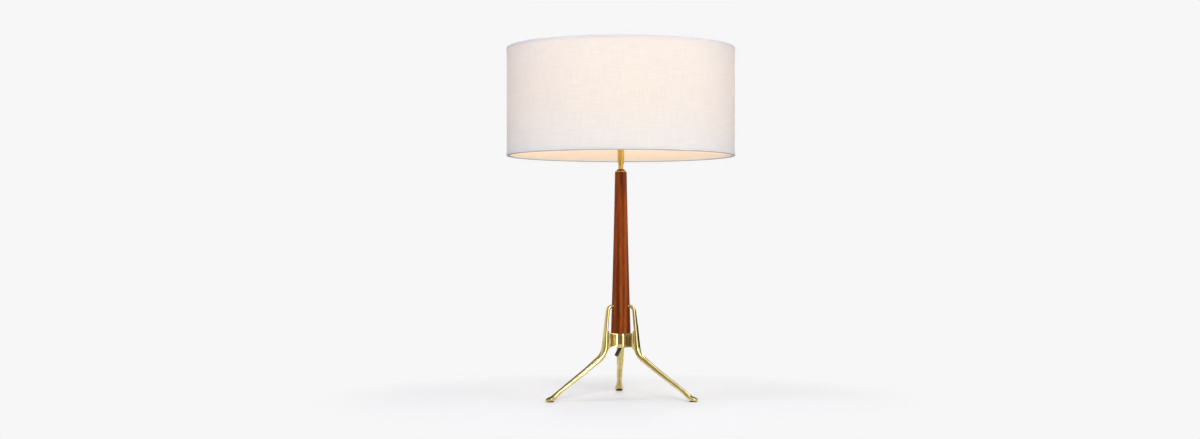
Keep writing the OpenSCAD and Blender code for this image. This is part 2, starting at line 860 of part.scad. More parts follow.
module spider_frame() {
    level = ring_level(true);
    rows = rounded([
        [spider_washer_d / 2 - 4, spider_z, 0, 0, arm_wire_d, arm_wire_d],
        [ring_r, spider_z, 6, 5, arm_wire_d, arm_wire_d],
        [ring_r, level, 0, 0, arm_wire_d, arm_wire_d]]);
    color("gainsboro")
        difference() {
            union() {
                wire_ring(level);
                translate([0, 0, washer_z])
                    cylinder(d = spider_washer_d, h = spider_washer_t, $fn = 96);
                for (turn = leg_turns) rotate([0, 0, turn]) sweep(rows, 10, 2, 0);
            }
            translate([0, 0, washer_z - 2])
                cylinder(r = stud_d / 2 + run_fit, h = spider_washer_t + 4);
        }
}

module bottom_ring() {
    color("gainsboro") wire_ring(ring_level(false));
}

module shade_liner() {
    color("bisque")
        ring(liner_r - liner_t, liner_r, shade_foot + hem_t + glue_gap,
            shade_h - 2 * (hem_t + glue_gap), $fn = round_fn);
}

module shade_fabric() {
    color("linen")
        ring(cloth_r - cloth_t, cloth_r, shade_foot + hem_t + glue_gap,
            shade_h - 2 * (hem_t + glue_gap), $fn = round_fn);
}

// Strip folded over a rim: an outer leg, the fold and an inner leg around the wire
module hem(edge_z, away) {
    outer = shade_d / 2;
    outline = [[outer, 0], [outer, hem_h], [outer - hem_t, hem_h], [outer - hem_t, hem_t],
        [hem_inner_r + hem_t, hem_t], [hem_inner_r + hem_t, hem_h], [hem_inner_r, hem_h],
        [hem_inner_r, 0]];
    color("whitesmoke")
        rotate_extrude($fn = round_fn)
            polygon([for (p = outline) [p.x, edge_z + away * p.y]]);
}

module top_hem() {
    hem(shade_top, -1);
}

module bottom_hem() {
    hem(shade_foot, 1);
}

// ---- Finial ----

module finial() {
    ball_r = finial_d / 2;
    base_r = 5.2;
    ball_z = finial_z + finial_h - ball_r;
    low = 50;
    outline = concat([[0, finial_z], [base_r, finial_z], [base_r, finial_z + 2.5]],
        eased(base_r, finial_z + 2.5, 4.2, finial_z + 5, 3),
        [for (i = [0 : 12])
            let (a = -low + (90 + low) * i / 12)
            [ball_r * cos(a), ball_z + ball_r * sin(a)]]);
    color("gold")
        difference() {
            rotate_extrude($fn = 64) polygon(outline);
            translate([0, 0, finial_z - 1]) cylinder(r = stud_d / 2 + run_fit, h = stud_h + 1.5);
        }
}

foot_pads();
leg_back();
leg_front_left();
leg_front_right();
hub();
leg_setscrews();
lamp_pipe();
pipe_nut();
lock_washer();
cord_outlet();
column();
seat_ring();
pipe_coupling();
neck();
neck_tube();
upper_nipple();
harp_saddle();
harp();
harp_stud();
ferrule_left();
ferrule_right();
socket_cap();
socket_shell();
socket_liner();
socket_body();
screw_shell();
centre_contact();
terminal_screws();
switch_stem();
switch_knob();
bulb_cap();
bulb_insulator();
bulb_contact();
bulb_glass();
spider_frame();
bottom_ring();
shade_liner();
shade_fabric();
top_hem();
bottom_hem();
finial();
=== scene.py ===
import math

import bmesh
import bpy
from mathutils import Matrix, Vector


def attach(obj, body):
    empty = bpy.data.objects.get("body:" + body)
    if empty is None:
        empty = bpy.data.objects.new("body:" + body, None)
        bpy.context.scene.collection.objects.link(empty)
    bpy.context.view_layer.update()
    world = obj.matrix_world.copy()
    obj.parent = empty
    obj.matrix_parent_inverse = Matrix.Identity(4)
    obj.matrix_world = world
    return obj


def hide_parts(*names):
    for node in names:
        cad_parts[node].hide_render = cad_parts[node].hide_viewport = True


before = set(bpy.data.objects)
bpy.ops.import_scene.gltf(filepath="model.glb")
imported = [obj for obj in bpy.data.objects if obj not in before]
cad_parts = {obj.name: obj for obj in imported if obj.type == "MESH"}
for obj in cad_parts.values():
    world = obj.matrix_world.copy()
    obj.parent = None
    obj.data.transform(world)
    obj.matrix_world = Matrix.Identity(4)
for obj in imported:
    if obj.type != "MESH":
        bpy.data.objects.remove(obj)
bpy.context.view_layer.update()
print("frame loaded:", len(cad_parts), "nodes")

scene = bpy.context.scene
scene.view_settings.view_transform = "Standard"
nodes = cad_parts
mm = 0.001
tau = 2 * math.pi

def hexColour(code):
    # sRGB hex to linear RGBA
    values = [int(code[i:i + 2], 16) / 255 for i in (0, 2, 4)]
    return tuple(v / 12.92 if v <= 0.04045 else ((v + 0.055) / 1.055) ** 2.4 for v in values) + (1.0,)

def adder(tree):
    # the function that adds nodes to one tree: a node with its settings and its inputs, in their order or by
    # name, each a plain value or a socket to link; it gives back one of the node's outputs
    def add(kind, *inputs, out=0, **settings):
        kind, *operation = kind.split()
        made = tree.nodes.new(kind if "Node" in kind else "ShaderNode" + kind)
        if operation:
            settings["operation"] = operation[0]
        for name, value in settings.items():
            setattr(made, name, value)
        named = inputs[0] if inputs and isinstance(inputs[0], dict) else dict(enumerate(inputs))
        for key, value in named.items():
            if isinstance(value, bpy.types.NodeSocket):
                tree.links.new(value, made.inputs[key])
            else:
                made.inputs[key].default_value = value
        return made.outputs[out] if made.outputs else None
    return add

def perMm(size):
    # texture scale at which one feature is about this many millimetres
    return 1000.0 / size

def newPiece(name, mesh):
    piece = bpy.data.objects.new(name, mesh)
    scene.collection.objects.link(piece)
    return piece

def newMesh(name, points, faces, edges=()):
    mesh = bpy.data.meshes.new(name)
    mesh.from_pydata([tuple(p) for p in points], edges, faces)
    mesh.update()
    return mesh

def tidyMesh(mesh, merge=2e-6):
    # doubles merged, and every face turned outwards
    work = bmesh.new()
    work.from_mesh(mesh)
    bmesh.ops.remove_doubles(work, verts=work.verts, dist=merge)
    bmesh.ops.recalc_face_normals(work, faces=work.faces)
    work.to_mesh(mesh)
    work.free()
    return mesh

def joined(name, meshes):
    work = bmesh.new()
    for mesh in meshes:
        work.from_mesh(mesh)
    mesh = bpy.data.meshes.new(name)
    work.to_mesh(mesh)
    work.free()
    return mesh

def flatten(piece):
    # what the modifiers make of the piece becomes its plain mesh
    graph = bpy.context.evaluated_depsgraph_get()
    mesh = bpy.data.meshes.new_from_object(piece.evaluated_get(graph))
    piece.modifiers.clear()
    piece.data = mesh
    mesh.name = piece.name
    return piece

def dress(piece, material, body, stands=(), sharp=38):
    # finish, smooth shading, the body it rides on and the CAD nodes it stands for
    piece.data.materials.clear()
    piece.data.materials.append(material)
    piece.data.shade_smooth()
    piece.data.set_sharp_from_angle(angle=math.radians(sharp))
    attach(piece, body)
    if stands:
        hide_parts(*stands)
    return piece

def rounded(rows, closed=True, steps=5):
    # [r, z, radius] rows in mm with their corners rounded, as points in metres
    points = []
    count = len(rows)
    for i, (r, z, radius) in enumerate(rows):
        here = Vector((r, z))
        if radius <= 0 or (not closed and i in (0, count - 1)):
            points.append(here * mm)
            continue
        before = Vector(rows[i - 1][:2]) - here
        after = Vector(rows[(i + 1) % count][:2]) - here
        opening = before.angle(after)
        reach = min(radius / math.tan(opening / 2), 0.49 * before.length, 0.49 * after.length)
        start, end = here + before.normalized() * reach, here + after.normalized() * reach
        for k in range(steps + 1):
            u = k / steps
            points.append(((1 - u) ** 2 * start + 2 * u * (1 - u) * here + u * u * end) * mm)
    return points

def eased(r1, z1, r2, z2, steps, radius=0.0):
    # rows of a soft step from one radius to another
    return [[r1 + (r2 - r1) * (1 - math.cos(math.pi * i / steps)) / 2, z1 + (z2 - z1) * i / steps, radius]
            for i in range(steps + 1)]

def turnedMesh(name, outline, sides=96, closed=True, shape=None):
    # an outline of (r, z) points turned about Z, with a UV map in metres round and along it
    runs, run = [], 0.0
    for i, p in enumerate(outline):
        run += (p - outline[i - 1]).length if i else 0.0
        runs.append(run)
    count = len(outline)
    reference = max(p.x for p in outline)
    points, index = [], []
    for p in outline:
        if p.x < 1e-7:
            index.append([len(points)] * sides)
            points.append((0.0, 0.0, p.y))
            continue
        index.append(list(range(len(points), len(points) + sides)))
        for k in range(sides):
            angle = tau * k / sides
            r, z = (p.x, p.y) if shape is None else shape(p.x, p.y, angle)
            points.append((r * math.cos(angle), r * math.sin(angle), z))
    faces, uvs = [], []
    closing = (outline[0] - outline[-1]).length
    for i in range(count if closed else count - 1):
        j = (i + 1) % count
        low, high = runs[i], runs[j] if j else runs[i] + closing
        for k in range(sides):
            m = (k + 1) % sides
            corners = [(index[i][k], k, low), (index[i][m], k + 1, low),
                       (index[j][m], k + 1, high), (index[j][k], k, high)]
            kept = [c for n, c in enumerate(corners) if c[0] != corners[n - 1][0]]
            if len(kept) > 2:
                faces.append([c[0] for c in kept])
                uvs += [(c[1] / sides * tau * reference, c[2]) for c in kept]
    mesh = newMesh(name, points, faces)
    layer = mesh.uv_layers.new(name="weave")
    layer.data.foreach_set("uv", [v for uv in uvs for v in uv])
    return tidyMesh(mesh)

def turnedPiece(name, rows, material, body, node, sides=96, closed=True, sharp=38):
    # a whole piece turned from its rows
    mesh = turnedMesh(name, rounded(rows, closed=closed), sides, closed=closed)
    return dress(newPiece(name, mesh), material, body, [node], sharp)

def softCopy(name, node, width, segments=3, degrees=30):
    # a copy of a CAD node with its flat faces joined again and its edges broken as on a casting
    mesh = nodes[node].data.copy()
    work = bmesh.new()
    work.from_mesh(mesh)
    bmesh.ops.remove_doubles(work, verts=work.verts, dist=2e-6)
    bmesh.ops.dissolve_limit(work, angle_limit=math.radians(0.5), verts=work.verts, edges=work.edges)
    bmesh.ops.recalc_face_normals(work, faces=work.faces)
    work.to_mesh(mesh)
    work.free()
    piece = newPiece(name, mesh)
    bevel = piece.modifiers.new("brokenEdges", "BEVEL")
    bevel.width, bevel.segments = width * mm, segments
    bevel.limit_method, bevel.angle_limit = "ANGLE", math.radians(degrees)
    bevel.use_clamp_overlap = True
    flatten(piece)
    return piece

def newTree(name, sizes):
    # a geometry tree; sizes are its named inputs, as name: (socket type, value)
    tree = bpy.data.node_groups.new(name, "GeometryNodeTree")
    tree.interface.new_socket("Geometry", in_out="INPUT", socket_type="NodeSocketGeometry")
    for label, (kind, value) in sizes.items():
        socket = tree.interface.new_socket(label, in_out="INPUT", socket_type=kind)
        if value is not None:
            socket.default_value = value
    tree.interface.new_socket("Geometry", in_out="OUTPUT", socket_type="NodeSocketGeometry")
    add = adder(tree)
    return tree, add, add("NodeGroupInput").node.outputs

def endTree(add, geometry, material):
    real = add("GeometryNodeRealizeInstances", geometry)
    painted = add("GeometryNodeSetMaterial", {"Geometry": real, "Material": material})
    add("NodeGroupOutput", painted)

def grown(name, mesh, tree, values):
    # runs a tree on a mesh and keeps the result as a plain mesh
    piece = newPiece(name, mesh)
    modifier = piece.modifiers.new(tree.name, "NODES")
    modifier.node_group = tree
    for item in tree.interface.items_tree:
        if item.item_type == "SOCKET" and item.in_out == "INPUT" and item.name in values:
            modifier[item.identifier] = values[item.name]
    flatten(piece)
    tidyMesh(piece.data)
    return piece

def pathMesh(name, points, closed=False, **attributes):
    # a chain of edges, with a value at each point for each attribute
    count = len(points)
    edges = [(i, i + 1) for i in range(count - 1)] + ([(count - 1, 0)] if closed else [])
    mesh = newMesh(name, points, [], edges)
    for label, values in attributes.items():
        mesh.attributes.new(label, "FLOAT", "POINT").data.foreach_set("value", values)
    return mesh

def sweptBarTree():
    # a soft-cornered bar along a path in the XZ plane; across and through are its width and thickness there
    tree, add, given = newTree("sweptBar", {
        "Sides": ("NodeSocketInt", 40), "Squareness": ("NodeSocketFloat", 3.0),
        "Floor": ("NodeSocketFloat", 0.0), "Turn": ("NodeSocketFloat", 0.0),
        "Material": ("NodeSocketMaterial", None)})
    place = add("GeometryNodeInputPosition")
    heading = add("GeometryNodeInputTangent")
    curve = add("GeometryNodeMeshToCurve", given["Geometry"])
    kept = add("GeometryNodeCaptureAttribute", curve, domain="POINT").node
    for i, (label, source) in enumerate((("centre", place), ("along", heading))):
        kept.capture_items.new("VECTOR", label)
        tree.links.new(source, kept.inputs[i + 1])
    ring = add("GeometryNodeCurvePrimitiveCircle", {"Resolution": given["Sides"], "Radius": 1.0})
    skin = add("GeometryNodeCurveToMesh", {"Curve": kept.outputs[0], "Profile Curve": ring, "Fill Caps": True})
    centre, along = kept.outputs[1], kept.outputs[2]
    power = add("Math DIVIDE", 2.0, given["Squareness"])
    offset = add("VectorMath SUBTRACT", place, centre)
    side = add("VectorMath ADD", (0, 1, 0), (0, 0, 0))
    out = add("VectorMath CROSS_PRODUCT", along, side)
    moved = centre
    for axis, label in ((side, "across"), (out, "through")):
        size = add("GeometryNodeInputNamedAttribute", {"Name": label}, data_type="FLOAT")
        part = add("VectorMath DOT_PRODUCT", offset, axis, out="Value")
        amount = add("Math ABSOLUTE", part)
        fullness = add("Math POWER", amount, power)
        sign = add("Math SIGN", part)
        half = add("Math MULTIPLY", size, 0.5)
        length = add("Math MULTIPLY", fullness, half)
        signed = add("Math MULTIPLY", length, sign)
        step = add("VectorMath SCALE", {0: axis, "Scale": signed})
        moved = add("VectorMath ADD", moved, step)
    xyz = add("SeparateXYZ", moved).node.outputs
    height = add("Math MAXIMUM", xyz[2], given["Floor"])
    above = add("CombineXYZ", xyz[0], xyz[1], height)
    shaped = add("GeometryNodeSetPosition", {"Geometry": skin, "Position": above})
    angles = add("CombineXYZ", {2: given["Turn"]})
    turn = add("FunctionNodeEulerToRotation", angles)
    turned = add("GeometryNodeTransform", {"Geometry": shaped, "Rotation": turn})
    endTree(add, turned, given["Material"])
    return tree

def bentWireTree():
    # round wire along a path, repeated round the lamp's axis
    tree, add, given = newTree("bentWire", {
        "Radius": ("NodeSocketFloat", 0.0015), "Sides": ("NodeSocketInt", 20),
        "Copies": ("NodeSocketInt", 1), "Material": ("NodeSocketMaterial", None)})
    curve = add("GeometryNodeMeshToCurve", given["Geometry"])
    ring = add("GeometryNodeCurvePrimitiveCircle", {"Resolution": given["Sides"], "Radius": given["Radius"]})
    wire = add("GeometryNodeCurveToMesh", {"Curve": curve, "Profile Curve": ring, "Fill Caps": True})
    points = add("GeometryNodePoints", {"Count": given["Copies"], "Position": (0, 0, 0)})
    index = add("GeometryNodeInputIndex")
    share = add("Math DIVIDE", index, given["Copies"])
    angle = add("Math MULTIPLY", share, tau)
    angles = add("CombineXYZ", {2: angle})
    turn = add("FunctionNodeEulerToRotation", angles)
    copies = add("GeometryNodeInstanceOnPoints", {"Points": points, "Instance": wire, "Rotation": turn})
    endTree(add, copies, given["Material"])
    return tree

def threadTree():
    # presses a round screw thread into a turned wall, or raises it where the depth is negative
    tree, add, given = newTree("pressedThread", {
        "Pitch": ("NodeSocketFloat", 0.001), "Depth": ("NodeSocketFloat", 0.0003),
        "From": ("NodeSocketFloat", 0.0), "To": ("NodeSocketFloat", 1.0), "Run out": ("NodeSocketFloat", 0.001),
        "Least radius": ("NodeSocketFloat", 0.0), "Material": ("NodeSocketMaterial", None)})
    place = add("GeometryNodeInputPosition")
    xyz = add("SeparateXYZ", place).node.outputs
    radius = add("VectorMath LENGTH", add("CombineXYZ", xyz[0], xyz[1]), out="Value")
    angle = add("Math ARCTAN2", xyz[1], xyz[0])
    lead = add("Math DIVIDE", xyz[2], given["Pitch"])
    lead = add("Math MULTIPLY", lead, tau)
    wave = add("Math SUBTRACT", lead, angle)
    wave = add("Math COSINE", wave)
    wave = add("MapRange", wave, -1.0, 1.0, 0.0, -1.0)
    low = add("Math ADD", given["From"], given["Run out"])
    high = add("Math SUBTRACT", given["To"], given["Run out"])
    rise = add("MapRange", xyz[2], given["From"], low)
    fall = add("MapRange", xyz[2], high, given["To"], 1.0, 0.0)
    outer = add("FunctionNodeCompare GREATER_THAN", radius, given["Least radius"], data_type="FLOAT")
    depth = wave
    for factor in (given["Depth"], rise, fall):
        depth = add("Math MULTIPLY", depth, factor)
    share = add("Math DIVIDE", depth, radius)
    inward = add("VectorMath MULTIPLY", place, (1, 1, 0))
    move = add("VectorMath SCALE", {0: inward, "Scale": share})
    pressed = add("GeometryNodeSetPosition", {
        "Geometry": given["Geometry"], "Selection": outer, "Offset": move})
    endTree(add, pressed, given["Material"])
    return tree

sweptBar, bentWire, pressedThread = sweptBarTree(), bentWireTree(), threadTree()
print("geometry trees ready")

def threaded(name, mesh, thread, material):
    # a turned mesh with a screw thread pressed into it; the thread's sizes are in mm
    labels = ("Pitch", "Depth", "From", "To", "Run out", "Least radius")
    sizes = {label: size * mm for label, size in zip(labels, thread)}
    return grown(name, mesh, pressedThread, {**sizes, "Material": material})

def newMaterial(name):
    material = bpy.data.materials.new(name)
    material.use_nodes = True
    material.node_tree.nodes.clear()
    return material, adder(material.node_tree)

def coated(add, share, colours, pattern, rough, strength, height, metallic=0.0):
    # a shader whose colour follows one pattern, and its roughness and relief (mm) another; and its colour alone
    tint = add("Mix", {0: share, 6: hexColour(colours[0]), 7: hexColour(colours[1])}, out=2, data_type="RGBA")
    rough = add("MapRange", {0: pattern, 3: rough[0], 4: rough[1]})
    bump = add("Bump", {"Height": pattern, "Strength": strength, "Distance": height * mm})
    return add("BsdfPrincipled", {
        "Base Color": tint, "Roughness": rough, "Normal": bump, "Metallic": metallic}), tint

def castBrass(name, look):
    # yellow brass, sand cast; wheel polished and lacquered it shows sharp mirror images and faint wheel marks
    # in a greener gold than sheet brass; its dark variant is dull, brown and grainy
    material, add = newMaterial(name)
    place = add("TexCoord", out="Object")
    cloud = add("TexNoise", {"Vector": place, "Scale": perMm(look["cloud"]), "Detail": 4.0})
    tone = add("MapRange", cloud, 0.38, 0.68)
    # wheel marks are a hair wide and a few centimetres long
    stretch = add("Mapping", {0: place, 3: (1.0, 1.0, look["run"])})
    marks = add("TexNoise", {"Vector": stretch, "Scale": perMm(look["wheelMark"]), "Detail": 3.0})
    rough = (look["roughness"] * 0.7, look["roughness"] * 1.4)
    add("OutputMaterial", coated(add, tone, look["colours"], marks, rough, 0.3, look["relief"], 1.0)[0])
    return material

def turnedBrass():
    # brass bar and sheet, turned or spun and lacquered: warmer gold, satin, with tool rings round the axis
    look = {"colours": ("e4be6c", "d2a850"), "rough": (0.28, 0.4), "toolRing": 0.5, "cloud": 9, "relief": 0.03}
    material, add = newMaterial("turnedBrass")
    place = add("TexCoord", out="Object")
    cloud = add("TexNoise", {"Vector": place, "Scale": perMm(look["cloud"]), "Detail": 3.0})
    level = add("Mapping", {0: place, 3: (0.03, 0.03, 1.0)})
    rings = add("TexNoise", {"Vector": level, "Scale": perMm(look["toolRing"]), "Detail": 2.0})
    shader = coated(add, cloud, look["colours"], rings, look["rough"], 0.2, look["relief"], 1.0)[0]
    add("OutputMaterial", shader)
    return material

def platedMetal(name, colours, roughness, speck):
    # a small metal part whose plating or pressing leaves a fine, even haze
    material, add = newMaterial(name)
    place = add("TexCoord", out="Object")
    haze = add("TexNoise", {"Vector": place, "Scale": perMm(speck), "Detail": 4.0})
    rough = (roughness - 0.06, roughness + 0.08)
    add("OutputMaterial", coated(add, haze, colours, haze, rough, 0.2, 0.04, 1.0)[0])
    return material

def mouldedPlastic(name, colours, roughness, grain, relief=0.06):
    # a moulded or pressed non-metal: even colour, fine grain from the tool, slightly paler where handled
    material, add = newMaterial(name)
    place = add("TexCoord", out="Object")
    skin = add("TexNoise", {"Vector": place, "Scale": perMm(grain), "Detail": 5.0})
    cloud = add("TexNoise", {"Vector": place, "Scale": perMm(grain * 14)})
    rough = (roughness - 0.07, roughness + 0.08)
    add("OutputMaterial", coated(add, add("MapRange", cloud, 0.4, 0.75), colours, skin, rough, 0.5, relief)[0])
    return material

def oiledWalnut():
    # walnut, turned, stained and oiled: red-brown, straight vertical figure from growth rings cut lengthwise,
    # short dark pores, a low sheen
    look = {"dark": "451503", "mid": "74310c", "light": "a05422", "pores": "2d0f05", "ring": 11, "fibre": 1.1,
            "broad": 7, "pore": 0.5, "rough": (0.42, 0.6), "pith": (26, 20.8), "wander": 5, "wanderEvery": 34,
            "relief": 0.12}
    material, add = newMaterial("oiledWalnut")
    place = add("TexCoord", out="Object")
    # growth rings are tubes round a pith beside the column, and wander slowly along it
    drift = add("Mapping", {0: place, 3: (1.0, 1.0, 0.14)})
    wander = add("TexNoise", {"Vector": drift, "Scale": perMm(look["wanderEvery"]), "Detail": 2.0}, out=1)
    wander = add("VectorMath SUBTRACT", wander, (0.5, 0.5, 0.5))
    wander = add("VectorMath SCALE", {0: wander, "Scale": 2 * look["wander"] * mm})
    bent = add("VectorMath ADD", place, wander)
    pith = add("Mapping", {0: bent, 1: (look["pith"][0] * mm, look["pith"][1] * mm, 0), 3: (1, 1, 0)})
    away = add("VectorMath LENGTH", pith, out="Value")
    phase = add("Math MULTIPLY", away, tau * perMm(look["ring"]))
    ring = add("MapRange", add("Math SINE", phase), -1.0, 1.0)
    long = add("Mapping", {0: place, 3: (1.0, 1.0, 0.018)})
    fibre = add("TexNoise", {"Vector": long, "Scale": perMm(look["fibre"]), "Detail": 3.0, "Roughness": 0.6})
    broad = add("TexNoise", {"Vector": long, "Scale": perMm(look["broad"]), "Detail": 2.0})
    figure = add("Math MULTIPLY", ring, 0.22)
    figure = add("Math MULTIPLY_ADD", fibre, 0.6, figure)
    figure = add("Math MULTIPLY_ADD", broad, 0.6, figure)
    low, high = add("MapRange", figure, 0.4, 0.72), add("MapRange", figure, 0.68, 1.0)
    # pores are fine dark dashes along the grain
    dash = add("Mapping", {0: place, 3: (1.0, 1.0, 0.09)})
    pores = add("TexNoise", {"Vector": dash, "Scale": perMm(look["pore"]), "Detail": 1.0})
    pores = add("MapRange", pores, 0.6, 0.72)
    tint = hexColour(look["dark"])
    for share, colour in ((low, "mid"), (high, "light"), (add("Math MULTIPLY", pores, 0.5), "pores")):
        tint = add("Mix", {0: share, 6: tint, 7: hexColour(look[colour])}, out=2, data_type="RGBA")
    rough = add("MapRange", {0: fibre, 3: look["rough"][0], 4: look["rough"][1]})
    sunk = add("Math SUBTRACT", fibre, pores)
    bump = add("Bump", {"Height": sunk, "Strength": 0.35, "Distance": look["relief"] * mm})
    add("OutputMaterial", add("BsdfPrincipled", {
        "Base Color": tint, "Roughness": rough, "Normal": bump, "Specular IOR Level": 0.1}))
    return material

def passing(add, look):
    # how much light comes through: less at the lower edge, where a strip is turned in between cloth and film
    low, high, less = look.get("turnIn", (0, 1, look["lets"]))
    level = add("SeparateXYZ", add("TexCoord", out="Object"), out=2)
    return add("MapRange", level, low * mm, high * mm, less, look["lets"], interpolation_type="SMOOTHSTEP")

def wovenCloth(name, look):
    # linen-look cloth glued on stiff film: off-white, matt, uneven threads both ways, and lamp light comes through
    material, add = newMaterial(name)
    weave = add("UVMap", uv_map="weave")
    unevenness = add("TexNoise", {"Vector": weave, "Scale": perMm(9), "Detail": 2.0})
    jitter = add("Math MULTIPLY", unevenness, 2.5)
    axes = add("SeparateXYZ", weave).node.outputs
    height, slubs = [], []
    for i, stretch in enumerate(((1.0, 0.045, 1.0), (0.045, 1.0, 1.0))):
        # thread spacing is drawn about twice the real 0.6 mm, so that it shows
        turns = add("Math MULTIPLY", axes[i], tau * perMm(look["thread"]))
        turns = add("Math ADD", turns, jitter)
        height.append(add("MapRange", add("Math SINE", turns), -1.0, 1.0))
        # slubs are thick places, a few centimetres long on one thread
        line = add("Mapping", {0: weave, 3: stretch})
        slubs.append(add("TexNoise", {"Vector": line, "Scale": perMm(look["slub"]), "Detail": 2.0}))
    knit = add("Math MAXIMUM", height[0], height[1])
    slub = add("MapRange", add("Math ADD", slubs[0], slubs[1]), 0.75, 1.3)
    tint = add("Mix", {0: slub, 6: hexColour(look["thin"]), 7: hexColour(look["thick"])}, out=2,
               data_type="RGBA")
    relief = add("Math MULTIPLY_ADD", slub, 1.3, knit)
    bump = add("Bump", {"Height": relief, "Strength": 0.3, "Distance": 0.2 * mm})
    cloth = add("BsdfPrincipled", {"Base Color": tint, "Roughness": 0.92, "Normal": bump,
                                   "Specular IOR Level": 0.25, "Sheen Weight": 0.15, "Sheen Roughness": 0.5})
    through = add("BsdfTranslucent", {"Color": tint, "Normal": bump})
    add("OutputMaterial", add("MixShader", passing(add, look), cloth, through))
    return material

def stiffFilm():
    # styrene sheet, calendered: smooth, semi-matt, cream in the light of the lamp
    look = {"colours": ("fbf1e8", "f8ece0"), "rough": (0.4, 0.53), "lets": 0.5, "turnIn": (476, 520, 0.35),
            "cloud": 60, "skin": 1.2, "relief": 0.04}
    material, add = newMaterial("styreneLiner")
    place = add("TexCoord", out="Object")
    cloud = add("TexNoise", {"Vector": place, "Scale": perMm(look["cloud"]), "Detail": 3.0})
    skin = add("TexNoise", {"Vector": place, "Scale": perMm(look["skin"]), "Detail": 2.0})
    film, tint = coated(add, cloud, look["colours"], skin, look["rough"], 0.2, look["relief"])
    add("OutputMaterial", add("MixShader", passing(add, look), film, add("BsdfTranslucent", tint)))
    return material

def opalGlass():
    # soda-lime bulb glass with a white powder coat inside: glossy skin over an even white that passes light
    look = {"clear": "fbf8f0", "coated": "f3eee2", "rough": (0.06, 0.12), "coat": 7}
    material, add = newMaterial("coatedBulbGlass")
    place = add("TexCoord", out="Object")
    coat = add("TexNoise", {"Vector": place, "Scale": perMm(look["coat"]), "Detail": 3.0})
    tint = add("Mix", {0: coat, 6: hexColour(look["clear"]), 7: hexColour(look["coated"])}, out=2,
               data_type="RGBA")
    rough = add("MapRange", {0: coat, 3: look["rough"][0], 4: look["rough"][1]})
    glass = add("BsdfPrincipled", {"Base Color": tint, "Roughness": rough, "IOR": 1.52})
    add("OutputMaterial", add("MixShader", 0.5, glass, add("BsdfTranslucent", tint)))
    return material

brassCast = castBrass("polishedCastBrass", {"colours": ("e6d292", "d2bb72"), "roughness": 0.035,
                                            "wheelMark": 0.9, "run": 0.12, "relief": 0.02, "cloud": 26})
brassDarkPanels = castBrass("darkPanelBrass", {"colours": ("b8964f", "3c2808"), "roughness": 0.28,
                                       "wheelMark": 0.7, "run": 1.0, "relief": 0.2, "cloud": 2.2})
brassTurned, walnut = turnedBrass(), oiledWalnut()
linen = wovenCloth("linenLookCloth", {"thin": "f4f1ec", "thick": "fbf9f5", "lets": 0.6, "thread": 1.3,
                                      "slub": 1.7, "turnIn": (476, 520, 0.5)})
tape = {"thread": 1.1, "slub": 1.5}
hemTape = wovenCloth("hemTape", {"thin": "f2efee", "thick": "faf8f6", "lets": 0.5, **tape})
# the folds themselves: four thicknesses glued down on the wire, so hardly any lamp light comes through; their grey
# is painted shade, darker on the lower fold
paintedShadeFold = wovenCloth("paintedShadeFold", {"thin": "9c9590", "thick": "b0a9a3", "lets": 0.05, **tape})
paintedShadeCrown = wovenCloth("paintedShadeCrown", {"thin": "ebe8e7", "thick": "f4f2f0", "lets": 0.05, **tape})
brassDarkFoot = platedMetal("darkFootBrass", ("6b3a1c", "4a2410"), 0.42, 2.0)    # dark brown, put on the neck's flared foot
linerFilm, bulbGlass = stiffFilm(), opalGlass()
zincSteel = platedMetal("zincPlatedSteel", ("c9ccd0", "a9adb2"), 0.34, 1.6)    # bluish, slightly cloudy
nickelBrass = platedMetal("nickelledShell", ("d9d5cb", "bdb8ac"), 0.26, 2.2)    # pressed, a little warm
aluminium = platedMetal("pressedAluminium", ("e3e4e6", "c8cacd"), 0.3, 1.1)    # drawn sheet, fine haze
enamel = mouldedPlastic("whiteEnamelWire", ("f1efe9", "e6e2d9"), 0.32, 1.4)    # baked enamel on steel wire
blackPhenolic = mouldedPlastic("blackPhenolic", ("191615", "2a2522"), 0.4, 0.5)    # moulded, dull black
brownPhenolic = mouldedPlastic("brownPhenolic", ("33231a", "453125"), 0.45, 0.6)    # moulded, dull brown
fibreBoard = mouldedPlastic("pressedBoard", ("a88a62", "8f744f"), 0.85, 0.4, 0.15)    # pressed paper, rough and dry
rubber = mouldedPlastic("padRubber", ("1d1a17", "2b2722"), 0.8, 0.7, 0.1)    # soft, matt, grey-black
sleeveVinyl = mouldedPlastic("sleeveVinyl", ("201a17", "342b26"), 0.48, 0.5)    # soft moulding, dark, low sheen
print("materials ready")

leg = {
    # centreline from the wood to the toe: r, z, bend radius, width, thickness, in mm
    "chain": [(16.4, 174.0, 0, 8.0, 7.0), (27.6, 174.0, 10, 8.0, 5.6), (33.9, 122.0, 120, 12.0, 6.6),
              (35.5, 83.4, 32, 14.3, 10.3), (79.56, 52.47, 260, 12.0, 8.8), (133.4, 17.1, 20, 10.1, 7.1),
              (146.6, 6.6, 12, 15.35, 8.0), (152.2, 4.9, 0, 17.6, 8.0)],
    "toeWidth": 17.6, "toeThickness": 8.0, "tipThickness": 3.4, "toeCentre": 152.2, "tip": 161.0,
    "pad": 1.2, "soleSink": 0.3, "tipTurn": 82, "squareness": 2.9, "sides": 44, "step": 1.3,
    "flangeWidth": 9.5, "flange": [(27.0, 94.5), (27.0, 123.5), (29.0, 127.5), (33.1, 131.0), (33.9, 125.0),
                                   (34.5, 92.5), (32.4, 89.5)],
    "flangeEdge": 0.7, "tenon": (8.3, 17.5, 174.0, 2.3), "spigot": (16.0, 31.0, 109.25, 3.0),
}

